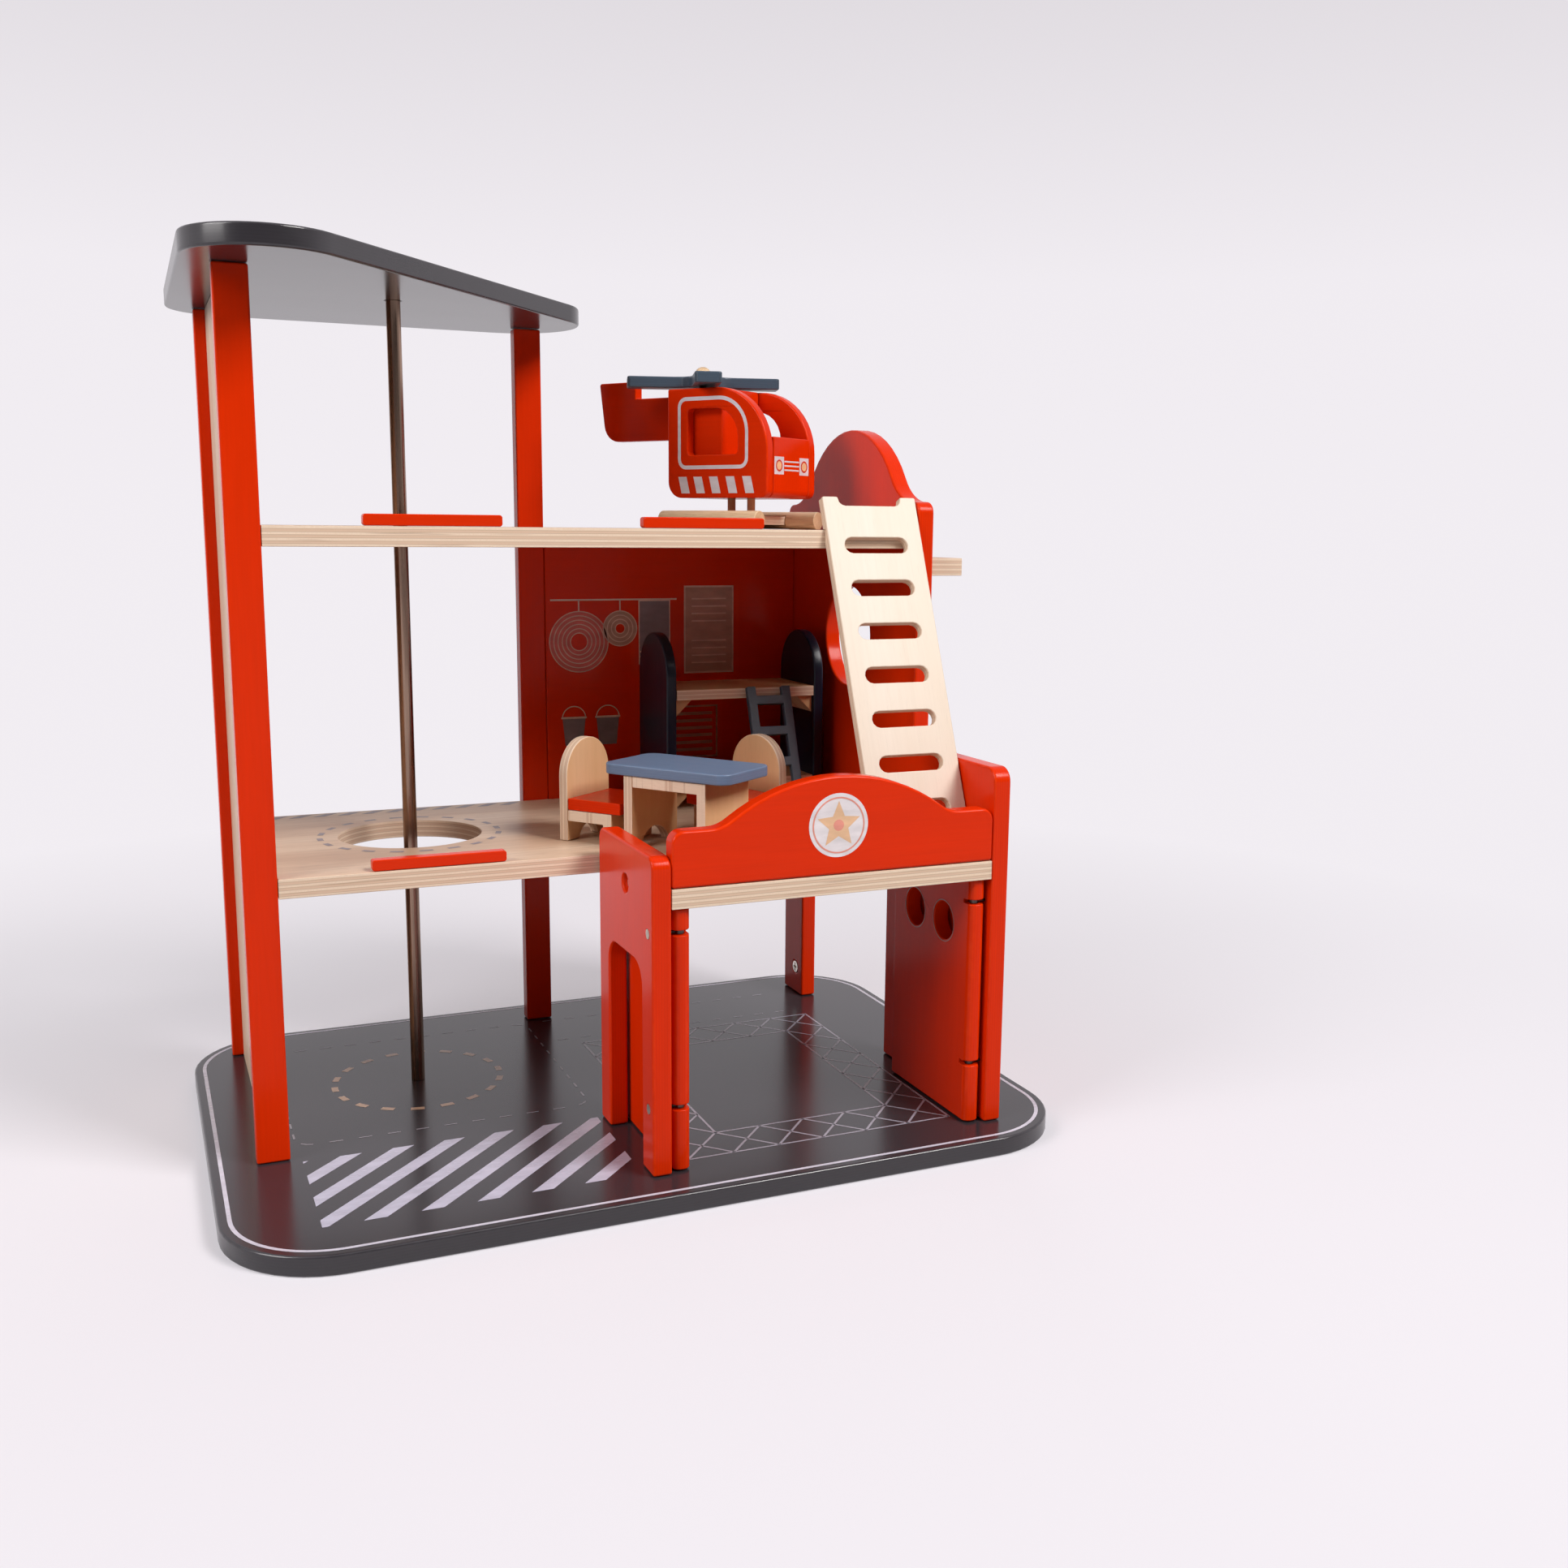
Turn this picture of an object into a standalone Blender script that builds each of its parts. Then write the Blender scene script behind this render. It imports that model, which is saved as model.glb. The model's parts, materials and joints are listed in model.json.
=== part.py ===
"""Toy fire station: a wooden play house with a garage, two floors, a tower and loose fittings.

Run with: blender --background --python part.py
Lengths are in metres, +Z is up, and the origin is under the middle of the base plate.
"""
import math

import bmesh
import bpy
from mathutils import Matrix, Vector

MM = 0.001

# Boards and fits
PLY = 12.5 * MM
GAP = 0.3 * MM
PIN_GAP = 0.3 * MM
OVERRUN = 3 * MM
WELD = 0.02 * MM
ARC_STEPS = 6
ROUND_STEPS = 24

# Base plate
BASE_LENGTH = 550 * MM
BASE_WIDTH = 397.5 * MM
BASE_CORNER = 66 * MM

# Storeys, measured from the top of the base plate
FIRST_FLOOR_TOP = 182.2 * MM
UPPER_FLOOR_TOP = 396.7 * MM
POST_HEIGHT = 545 * MM

# Tower, measured from the front left corner of the base plate
POST_LEFT = 28 * MM
POST_WIDTH = 20.3 * MM
TOWER_FRONT = 141 * MM
TOWER_DEPTH = 214.5 * MM
MIDDLE_POST_LEFT = 254.5 * MM
POLE_X = 148.6 * MM
POLE_Y = 256 * MM
POLE_RADIUS = 4.8 * MM
POLE_HOLE_RADIUS = 49.5 * MM
POLE_SOCKET_DEPTH = 5 * MM

# Roof plate, a triangle with rounded corners
ROOF_INSET = 9.8 * MM
ROOF_LENGTH = 359 * MM
ROOF_DEPTH = 384.5 * MM
ROOF_FRONT_RADIUS = 46 * MM
ROOF_RIGHT_RADIUS = 54 * MM
ROOF_BACK_RADIUS = 40 * MM

# Garage walls
GARAGE_FRONT = 28.2 * MM
GARAGE_LEFT = 251.6 * MM
GARAGE_OPENING = 224.2 * MM
LEFT_WALL_DEPTH = 110 * MM
LEFT_WALL_HEIGHT = 202.5 * MM
LEFT_WALL_CORNER = 8 * MM
DOORWAY_INSET = 21.4 * MM
DOORWAY_WIDTH = 68 * MM
DOORWAY_HEIGHT = 131 * MM
DOORWAY_CORNER = 15 * MM

# Right wall
RIGHT_WALL_FRONT_HEIGHT = 244 * MM
RIGHT_WALL_CORNER = 10 * MM
SHOULDER_HEIGHT = 417 * MM
SHOULDER_CORNER = 8 * MM
GABLE_Y = 254.5 * MM
GABLE_RISE = 55 * MM
GABLE_REACH = 105 * MM
GABLE_CREST_RADIUS = 86 * MM
RIGHT_LEG_WIDTH = 37 * MM
RIGHT_FRONT_PANEL = 150 * MM
ROUND_WINDOW_RADIUS = 38.5 * MM
ROUND_WINDOW_HEIGHT = 315.7 * MM
ROUND_WINDOW_Y = 253 * MM
BELL_STEPS = 16

# Back wall, parapet, curbs and ledge
PARAPET_SHOULDER = 35.5 * MM
PARAPET_RISE = 28 * MM
PARAPET_REACH = 86.3 * MM
PARAPET_CREST_RADIUS = 125 * MM
PARAPET_CORNER = 8 * MM
CURB_HEIGHT = 7.5 * MM
CURB_DEPTH = 8 * MM
CURB_LENGTH = 85.4 * MM
FIRST_CURB_LEFT = 105.2 * MM
UPPER_CURB_LEFT = 107.2 * MM
UPPER_CURB_SPACING = 178 * MM
CURB_CORNER = 1.5 * MM
LEDGE_REACH = 28 * MM
LEDGE_DEPTH = 40 * MM
LEDGE_HEIGHT = 365 * MM

# Garage doors and their hinges
DOOR_LENGTH = 107 * MM
DOOR_THICKNESS = 11.5 * MM
DOOR_HEIGHT = 168 * MM
DOOR_FLOOR_GAP = 1 * MM
DOOR_WALL_GAP = 2.1 * MM
DOOR_SETBACK = 3 * MM
HINGE_EDGE = 6 * MM
SLOT_HEIGHT = 3.1 * MM
HINGE_ROUND_SHARE = 0.85
SLOT_DEPTH = 9.8 * MM
LOWER_SLOT_HEIGHT = 40.4 * MM
UPPER_SLOT_HEIGHT = 152.3 * MM
DOOR_HOLE_RADIUS = 13 * MM
DOOR_HOLE_HEIGHT = 133.6 * MM
DOOR_HOLE_SPACING = 40 * MM
DOOR_HOLE_FROM_HINGE = 30 * MM
PIN_RADIUS = 1.2 * MM
PIN_BITE = 12 * MM
EYE_RADIUS = 3 * MM
EYE_THICKNESS = 2.4 * MM
SHANK_RADIUS = 1.1 * MM
BOLT_HEAD_RADIUS = 3.2 * MM
BOLT_HEAD_THICKNESS = 1.8 * MM
COUNTERBORE_DEPTH = 2 * MM

# Screws through the garage walls into the first floor, and the nut in the rear leg
FLOOR_SCREW_FROM_FRONT = 53.5 * MM
FLOOR_SCREW_HEAD_RADIUS = 4 * MM
FLOOR_SCREW_HEAD_THICKNESS = 2.4 * MM
FLOOR_SCREW_RADIUS = 1.7 * MM
FLOOR_SCREW_SINK_RADIUS = 5.8 * MM
FLOOR_SCREW_LENGTH = 32 * MM
FLOOR_SCREW_SINK = 5 * MM
NUT_RADIUS = 5 * MM
NUT_DEPTH = 8 * MM
NUT_HEIGHT = 22.8 * MM
NUT_FROM_BACK = 23 * MM
CROSS_SHARE = 0.65
CROSS_WIDTH = 1.6 * MM
CROSS_DEPTH = 1.5 * MM

# Big ladder
LADDER_WIDTH = 72 * MM
LADDER_THICKNESS = 6.5 * MM
LADDER_LENGTH = 253 * MM
LADDER_LEAN = math.radians(21.9)
LADDER_BITE = 3 * MM
LADDER_WALL_GAP = 0.8 * MM
LADDER_CORNER = 5 * MM
SLOT_COUNT = 7
RUNG_SLOT_WIDTH = 48.5 * MM
RUNG_SLOT_HEIGHT = 11.4 * MM
RUNG_PITCH = 31 * MM
RUNG_FIRST = 31.5 * MM
HORN_HEIGHT = 6.5 * MM
HORN_WIDTH = 12 * MM

# Bunk bed, standing on the first floor
BUNK_LEFT = 345 * MM
BUNK_FRONT = 268 * MM
BUNK_BOARD = 8 * MM
BUNK_DEPTH = 67 * MM
BUNK_HEIGHT = 135 * MM
BUNK_INNER_LENGTH = 114.5 * MM
BUNK_PLATFORM_THICKNESS = 7.8 * MM
BUNK_UPPER_TOP = 93 * MM
BUNK_LOWER_TOP = 22 * MM
BRACKET_SIZE = 13 * MM
BRACKET_DEPTH = 52 * MM

# Bunk ladder
BUNK_LADDER_LEFT = 408.5 * MM
BUNK_LADDER_WIDTH = 35.8 * MM
BUNK_LADDER_THICKNESS = 5 * MM
BUNK_LADDER_LEAN = math.radians(19.5)
BUNK_LADDER_RAIL = 7 * MM
BUNK_LADDER_HORN = 7.4 * MM
BUNK_LADDER_FOOT = 11.5 * MM
BUNK_RUNG = 6.8 * MM
BUNK_WINDOW_COUNT = 3

# Table and chairs
TABLE_X = 315 * MM
TABLE_Y = 142.3 * MM
TABLE_TURN = math.radians(-54)
TABLE_LENGTH = 101 * MM
TABLE_WIDTH = 58 * MM
TABLE_HEIGHT = 57.5 * MM
TABLE_TOP_THICKNESS = 7.3 * MM
TABLE_TOP_CORNER = 9 * MM
TABLE_OVERHANG = 17.5 * MM
TABLE_LEG_INSET = 2 * MM
FURNITURE_PLY = 7 * MM
FURNITURE_RAIL = 7.5 * MM
TABLE_ARCH_WIDTH = 34 * MM
TABLE_ARCH_HEIGHT = 12 * MM
CHAIR_WIDTH = 50 * MM
CHAIR_HEIGHT = 70 * MM
CHAIR_SEAT_TOP = 30 * MM
CHAIR_SEAT_THICKNESS = 8 * MM
CHAIR_SEAT_DEPTH = 43.2 * MM
CHAIR_SEAT_OVERHANG = 7 * MM
CHAIR_ARCH_WIDTH = 22 * MM
CHAIR_ARCH_HEIGHT = 9 * MM
LEFT_CHAIR_X = 260.2 * MM
LEFT_CHAIR_Y = 210.4 * MM
LEFT_CHAIR_TURN = math.radians(-52)
RIGHT_CHAIR_X = 386 * MM
RIGHT_CHAIR_Y = 178.2 * MM
RIGHT_CHAIR_TURN = math.radians(-160)

# Helicopter, standing on the upper floor
HELI_X = 398.5 * MM
HELI_Y = 252 * MM
HELI_TURN = math.radians(-58)
HELI_BODY_LENGTH = 90 * MM
HELI_BODY_HEIGHT = 78.6 * MM
HELI_BODY_BOTTOM = 22 * MM
HELI_CORE_WIDTH = 45.5 * MM
HELI_SIDE_THICKNESS = 8 * MM
HELI_CORNER = 12 * MM
HELI_NOSE_RADIUS = 46 * MM
HELI_NOSE_HEIGHT = 43 * MM
HELI_NOSE_LENGTH = 16 * MM
HELI_REAR_BLOCK = 44 * MM
HELI_CABIN_FLOOR = 26 * MM
HELI_WINDOW_INSET = 18.6 * MM
HELI_WINDOW_WIDTH = 45 * MM
HELI_WINDOW_HEIGHT = 33 * MM
HELI_WINDOW_BOTTOM = 31 * MM
HELI_WINDOW_NOSE = 21 * MM
HELI_WINDOW_CORNER = 3 * MM
TAIL_REACH = 90 * MM
TAIL_THICKNESS = 8 * MM
TAIL_BOTTOM = 43.8 * MM
TAIL_BOOM_HEIGHT = 32 * MM
TAIL_FIN_RISE = 12.8 * MM
TAIL_FIN_LENGTH = 37 * MM
TAIL_FIN_SLANT = 6 * MM
TAIL_TENON = 3 * MM
TAIL_CORNER = 14 * MM
SKID_RADIUS = 6.7 * MM
SKID_LENGTH = 88 * MM
SKID_SPACING = 76 * MM
SKID_BITE = 2 * MM
SKID_FLAT = 0.6 * MM
DECK_LENGTH = 35 * MM
DECK_THICKNESS = 6.4 * MM
DECK_HEIGHT = 3 * MM
STRUT_RADIUS = 3 * MM
STRUT_SPACING = 18 * MM
STRUT_SOCKET = 5 * MM
ROTOR_LENGTH = 113 * MM
ROTOR_WIDTH = 19.6 * MM
ROTOR_THICKNESS = 8 * MM
ROTOR_HUB_FILLET = 12 * MM
ROTOR_TIP_CORNER = 2 * MM
ROTOR_LIFT = 2 * MM
ROTOR_TURN = math.radians(41.5)
ROTOR_FROM_REAR = 9 * MM
ROTOR_PIN_RADIUS = 2.5 * MM
ROTOR_PIN_DEPTH = 16 * MM
ROTOR_CAP_RADIUS = 6.3 * MM
ROTOR_CAP_HEIGHT = 8 * MM

# Places that follow from the sizes above
TOWER_BACK = TOWER_FRONT + TOWER_DEPTH
TOWER_INNER_LEFT = POST_LEFT + POST_WIDTH
GARAGE_INNER_LEFT = GARAGE_LEFT + PLY
RIGHT_WALL_X = GARAGE_INNER_LEFT + GARAGE_OPENING
STATION_BACK = TOWER_BACK + PLY
FIRST_FLOOR_UNDER = FIRST_FLOOR_TOP - PLY
UPPER_FLOOR_UNDER = UPPER_FLOOR_TOP - PLY
MIDDLE_POST_RIGHT = MIDDLE_POST_LEFT + POST_WIDTH
DOOR_FRONT = GARAGE_FRONT + DOOR_SETBACK
HINGE_Y = DOOR_FRONT + HINGE_EDGE
HINGE_OFFSET = DOOR_WALL_GAP + DOOR_THICKNESS / 2

# Colours from the photograph: linear red, green, blue, then roughness and metallic
PAINTS = {
    "red_paint": ((0.62, 0.030, 0.006), 0.35, 0.0),
    "graphite_paint": ((0.075, 0.075, 0.085), 0.45, 0.0),
    "plywood": ((0.80, 0.60, 0.40), 0.55, 0.0),
    "slate_paint": ((0.13, 0.18, 0.24), 0.45, 0.0),
    "navy_paint": ((0.012, 0.022, 0.045), 0.35, 0.0),
    "bronze_tube": ((0.16, 0.12, 0.09), 0.35, 1.0),
    "zinc": ((0.62, 0.60, 0.55), 0.35, 1.0),
}


def clear_scene():
    """Remove whatever the file opened with."""
    for obj in list(bpy.data.objects):
        bpy.data.objects.remove(obj, do_unlink=True)


def new_collection(name):
    """Make a collection in the scene."""
    collection = bpy.data.collections.new(name)
    bpy.context.scene.collection.children.link(collection)
    return collection


def make_material(name):
    """One Principled material, with a paint's colour, roughness and metallic value."""
    color, roughness, metallic = PAINTS[name]
    material = bpy.data.materials.new(name)
    material.use_nodes = True
    shader = material.node_tree.nodes["Principled BSDF"]
    shader.inputs["Base Color"].default_value = (*color, 1.0)
    shader.inputs["Roughness"].default_value = roughness
    shader.inputs["Metallic"].default_value = metallic
    material.diffuse_color = (*color, 1.0)
    return material


clear_scene()
PARTS = new_collection("toy_fire_station")
CUTTERS = new_collection("cutters")
MATERIALS = {name: make_material(name) for name in PAINTS}


# Outlines: lists of points, anticlockwise

def arc(center, radius, start, end, steps):
    """Points along an arc, both ends included."""
    cx, cy = center
    angles = [start + (end - start) * i / steps for i in range(steps + 1)]
    return [(cx + radius * math.cos(a), cy + radius * math.sin(a)) for a in angles]


def circle(center, radius, steps=ROUND_STEPS):
    """Points round a circle, with a flat across each axis."""
    start = math.pi / steps
    return arc(center, radius, start, start + math.tau, steps)[:-1]


def fillet(before, corner, after, radius, steps):
    """Replace one corner by an arc that touches both of its sides."""
    to_before = (Vector(before) - Vector(corner)).normalized()
    to_after = (Vector(after) - Vector(corner)).normalized()
    half = to_before.angle(to_after) / 2
    middle = Vector(corner) + (to_before + to_after).normalized() * (radius / math.sin(half))
    first = Vector(corner) + to_before * (radius / math.tan(half))
    last = Vector(corner) + to_after * (radius / math.tan(half))
    start = first - middle
    turn = start.angle_signed(last - middle)
    points = []
    for i in range(steps + 1):
        rotated = Matrix.Rotation(-turn * i / steps, 2) @ start
        points.append(tuple(middle + rotated))
    return points


def rounded(points, radii, steps=ARC_STEPS):
    """An outline whose corners have the given radii, zero for a sharp one."""
    outline = []
    count = len(points)
    for i, (corner, radius) in enumerate(zip(points, radii)):
        if radius > 0:
            outline += fillet(points[i - 1], corner, points[(i + 1) % count], radius, steps)
        else:
            outline.append(corner)
    return outline


def rectangle(left, bottom, right, top, radius=0, steps=ARC_STEPS):
    """A rectangle, with all four corners rounded alike."""
    corners = [(left, bottom), (right, bottom), (right, top), (left, top)]
    return rounded(corners, [radius] * len(corners), steps)


def stadium(center, length, height, steps=ARC_STEPS):
    """A slot with round ends, lying along the first axis."""
    cx, cy = center
    radius = height / 2
    reach = length / 2 - radius
    right = arc((cx + reach, cy), radius, -math.pi / 2, math.pi / 2, steps)
    left = arc((cx - reach, cy), radius, math.pi / 2, math.pi * 3 / 2, steps)
    return right + left


def segment_arch(width, height, steps):
    """A shallow arch over the origin, from right to left."""
    radius = (width * width / 4 + height * height) / (height * 2)
    center = height - radius
    start = math.atan2(-center, width / 2)
    return arc((0, center), radius, start, math.pi - start, steps)


def bell(middle, base, rise, reach, crest_radius):
    """A round crest that runs out into a level edge through two hollow arcs, from right to left."""
    span = (reach * reach + rise * rise) / (rise * 2)
    root_radius = span - crest_radius
    lean = math.atan2(reach, span - rise)
    down = -math.pi / 2
    right = arc((middle + reach, base + root_radius), root_radius, down, down - lean, BELL_STEPS // 2)
    crest = arc((middle, base + rise - crest_radius), crest_radius, -down - lean, -down + lean, BELL_STEPS)
    left = arc((middle - reach, base + root_radius), root_radius, down + lean, down, BELL_STEPS // 2)
    return right + crest[1:-1] + left


# Solids

def link(obj, material, parent):
    """Put an object in the parts' collection, with its material and parent."""
    for collection in list(obj.users_collection):
        collection.objects.unlink(obj)
    PARTS.objects.link(obj)
    obj.data.materials.clear()
    obj.data.materials.append(MATERIALS[material])
    obj.parent = parent
    return obj


def mesh_from_curve(obj):
    """Turn a curve object into a closed mesh object at the same place."""
    depsgraph = bpy.context.evaluated_depsgraph_get()
    mesh = bpy.data.meshes.new_from_object(obj.evaluated_get(depsgraph))
    mesh_obj = bpy.data.objects.new(obj.name + "_mesh", mesh)
    mesh_obj.matrix_world = obj.matrix_world
    work = bmesh.new()
    work.from_mesh(mesh)
    bmesh.ops.remove_doubles(work, verts=work.verts, dist=WELD)
    bmesh.ops.recalc_face_normals(work, faces=work.faces)
    work.to_mesh(mesh)
    work.free()
    bpy.data.objects.remove(obj, do_unlink=True)
    return mesh_obj


def extruded(name, loops, thickness):
    """A flat board from an outline and its holes, centred on its own thickness."""
    curve = bpy.data.curves.new(name, "CURVE")
    curve.dimensions = "2D"
    curve.fill_mode = "BOTH"
    curve.extrude = thickness / 2
    for loop in loops:
        spline = curve.splines.new("POLY")
        spline.points.add(len(loop) - 1)
        for point, (u, v) in zip(spline.points, loop):
            point.co = (u, v, 0, 1)
        spline.use_cyclic_u = True
    obj = bpy.data.objects.new(name, curve)
    bpy.context.scene.collection.objects.link(obj)
    bpy.context.view_layer.update()
    solid = mesh_from_curve(obj)
    solid.name = name
    bpy.context.scene.collection.objects.link(solid)
    return solid


TURNS = {
    "XY": (0, 0, 0),
    "XZ": (math.pi / 2, 0, 0),
    "YZ": (math.pi / 2, 0, math.pi / 2),
}
NORMALS = {"XY": Vector((0, 0, 1)), "XZ": Vector((0, 1, 0)), "YZ": Vector((1, 0, 0))}


def board(name, loops, plane, face, material, parent, thickness=PLY):
    """A board drawn in a plane, whose lower side lies at the given distance from that plane."""
    obj = link(extruded(name, loops, thickness), material, parent)
    obj.rotation_euler = TURNS[plane]
    obj.location = NORMALS[plane] * (face + thickness / 2)
    return obj


def cutter(name, loops, plane, face, thickness, parent):
    """A hidden board that other boards are cut with."""
    obj = extruded(name, loops, thickness)
    bpy.context.scene.collection.objects.unlink(obj)
    CUTTERS.objects.link(obj)
    obj.rotation_euler = TURNS[plane]
    obj.location = NORMALS[plane] * (face + thickness / 2)
    obj.parent = parent
    obj.hide_render = True
    obj.display_type = "WIRE"
    return obj


def cylinder_mesh(radius, length, steps=ROUND_STEPS):
    """A closed cylinder mesh along Z, from zero up."""
    mesh = bpy.data.meshes.new("round")
    work = bmesh.new()
    bmesh.ops.create_cone(work, cap_ends=True, segments=steps, radius1=radius, radius2=radius, depth=length)
    bmesh.ops.translate(work, verts=work.verts, vec=(0, 0, length / 2))
    work.to_mesh(mesh)
    work.free()
    return mesh


AXIS_TURNS = {"X": (0, math.pi / 2, 0), "Y": (-math.pi / 2, 0, 0), "Z": (0, 0, 0), "-X": (0, -math.pi / 2, 0)}


def rod(name, start, axis, radius, length, material, parent, steps=ROUND_STEPS):
    """A round bar from a start point along an axis."""
    obj = link(bpy.data.objects.new(name, cylinder_mesh(radius, length, steps)), material, parent)
    smooth(obj)
    obj.rotation_euler = AXIS_TURNS[axis]
    obj.location = start
    return obj


def rod_cutter(name, start, axis, radius, length, parent, steps=ROUND_STEPS):
    """A hidden round bar that drills a hole."""
    obj = bpy.data.objects.new(name, cylinder_mesh(radius, length, steps))
    CUTTERS.objects.link(obj)
    obj.rotation_euler = AXIS_TURNS[axis]
    obj.location = start
    obj.parent = parent
    obj.hide_render = True
    obj.display_type = "WIRE"
    return obj


def smooth(obj):
    """Shade a round piece smooth, with its edges kept sharp."""
    obj.data.shade_smooth()
    obj.data.set_sharp_from_angle(angle=math.radians(35))


def cut(obj, tool, operation="DIFFERENCE"):
    """Add one exact Boolean modifier."""
    modifier = obj.modifiers.new(tool.name, "BOOLEAN")
    modifier.operation = operation
    modifier.solver = "EXACT"
    modifier.object = tool


def empty(name, location, turn=0, parent=None):
    """A frame that pieces hang from."""
    obj = bpy.data.objects.new(name, None)
    PARTS.objects.link(obj)
    obj.location = location
    obj.rotation_euler = (0, 0, turn)
    obj.parent = parent
    return obj


def turned(name, profile, steps, material, place, axis, parent):
    """A solid of revolution from a profile of radius and height pairs, listed from the top down."""
    mesh = bpy.data.meshes.new(name)
    mesh.from_pydata([(radius, 0, height) for radius, height in profile],
                     [(i, i + 1) for i in range(len(profile) - 1)], [])
    obj = link(bpy.data.objects.new(name, mesh), material, parent)
    screw = obj.modifiers.new("turn", "SCREW")
    screw.steps = steps
    screw.render_steps = steps
    screw.use_merge_vertices = True
    screw.merge_threshold = WELD
    obj.rotation_euler = AXIS_TURNS[axis]
    obj.location = place
    return obj


# The station's fixed boards

def make_base(station):
    """Base plate with large rounded corners."""
    outline = rectangle(0, 0, BASE_LENGTH, BASE_WIDTH, BASE_CORNER, ARC_STEPS * 2)
    board("base_plate", [outline], "XY", -PLY, "graphite_paint", station)


def make_post(name, left, front, station):
    """One upright plank of the tower."""
    outline = rectangle(left, GAP, left + POST_WIDTH, POST_HEIGHT - GAP)
    board(name, [outline], "XZ", front, "red_paint", station)


def make_tower(station):
    """Three posts and the plain panel that closes the left side."""
    make_post("front_left_post", POST_LEFT, TOWER_FRONT, station)
    make_post("rear_left_post", POST_LEFT, TOWER_BACK, station)
    make_post("middle_rear_post", MIDDLE_POST_LEFT, TOWER_BACK, station)
    side = rectangle(TOWER_FRONT + PLY + GAP, GAP, TOWER_BACK - GAP, POST_HEIGHT - GAP)
    board("tower_side_panel", [side], "YZ", TOWER_INNER_LEFT - PLY, "plywood", station)


def make_floors(station):
    """The first floor with its garage wing, and the plain upper floor."""
    left = TOWER_INNER_LEFT + GAP
    right = RIGHT_WALL_X - GAP
    wing_left = GARAGE_INNER_LEFT + GAP
    back = TOWER_BACK - GAP
    first = [
        (left, TOWER_FRONT), (wing_left, TOWER_FRONT), (wing_left, GARAGE_FRONT),
        (right, GARAGE_FRONT), (right, back), (left, back),
    ]
    hole = circle((POLE_X, POLE_Y), POLE_HOLE_RADIUS, ROUND_STEPS * 2)
    floor = board("first_floor", [first, hole], "XY", FIRST_FLOOR_UNDER, "plywood", station)
    height = FIRST_FLOOR_UNDER + PLY / 2
    for side, start, axis in (("left", wing_left, "X"), ("right", right, "-X")):
        reach = FLOOR_SCREW_LENGTH
        begin = (start - OVERRUN if axis == "X" else start + OVERRUN, GARAGE_FRONT + FLOOR_SCREW_FROM_FRONT, height)
        drill = rod_cutter(side + "_floor_pilot", begin, axis, FLOOR_SCREW_RADIUS + GAP, reach, station, ARC_STEPS * 2)
        cut(floor, drill)
    board("upper_floor", [rectangle(left, TOWER_FRONT, right, back), hole], "XY", UPPER_FLOOR_UNDER, "plywood", station)


def make_roof(station):
    """Triangular roof plate on the three posts."""
    left = ROOF_INSET
    front = ROOF_INSET
    corners = [(left, front), (left + ROOF_LENGTH, front + ROOF_DEPTH), (left, front + ROOF_DEPTH)]
    radii = [ROOF_FRONT_RADIUS, ROOF_RIGHT_RADIUS, ROOF_BACK_RADIUS]
    roof = board("roof_plate", [rounded(corners, radii, ARC_STEPS * 3)], "XY", POST_HEIGHT, "graphite_paint", station)
    socket = rod_cutter("roof_socket", (POLE_X, POLE_Y, POST_HEIGHT - OVERRUN), "Z", POLE_RADIUS + GAP,
                        POLE_SOCKET_DEPTH + OVERRUN, station)
    cut(roof, socket)


def make_pole(station):
    """Sliding pole from the base plate into the roof."""
    length = POST_HEIGHT + POLE_SOCKET_DEPTH - GAP * 2
    rod("fire_pole", (POLE_X, POLE_Y, GAP), "Z", POLE_RADIUS, length, "bronze_tube", station)


def make_right_wall(station):
    """The tall red wall: garage side, bell gable, round window and rear leg in one board."""
    leg_front = STATION_BACK - RIGHT_LEG_WIDTH
    panel_back = GARAGE_FRONT + RIGHT_FRONT_PANEL
    lower = [(GARAGE_FRONT, GAP), (panel_back, GAP), (panel_back, FIRST_FLOOR_UNDER),
             (leg_front, FIRST_FLOOR_UNDER), (leg_front, GAP), (STATION_BACK, GAP)]
    rear = fillet((STATION_BACK, GAP), (STATION_BACK, SHOULDER_HEIGHT), (TOWER_FRONT, SHOULDER_HEIGHT),
                  SHOULDER_CORNER, ARC_STEPS)
    top = bell(GABLE_Y, SHOULDER_HEIGHT, GABLE_RISE, GABLE_REACH, GABLE_CREST_RADIUS)
    front = fillet((STATION_BACK, SHOULDER_HEIGHT), (TOWER_FRONT, SHOULDER_HEIGHT), (TOWER_FRONT, GAP),
                   SHOULDER_CORNER, ARC_STEPS)
    step = [(TOWER_FRONT, RIGHT_WALL_FRONT_HEIGHT)]
    nose = fillet((TOWER_FRONT, RIGHT_WALL_FRONT_HEIGHT), (GARAGE_FRONT, RIGHT_WALL_FRONT_HEIGHT),
                  (GARAGE_FRONT, GAP), RIGHT_WALL_CORNER, ARC_STEPS)
    outline = lower + rear + top + front + step + nose
    window = circle((ROUND_WINDOW_Y, ROUND_WINDOW_HEIGHT), ROUND_WINDOW_RADIUS, ROUND_STEPS * 2)
    wall = board("right_wall", [outline, window], "YZ", RIGHT_WALL_X, "red_paint", station)
    drill_wall(wall, "right", RIGHT_WALL_X + PLY, "-X", station)
    make_leg_nut(wall, station)


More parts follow.
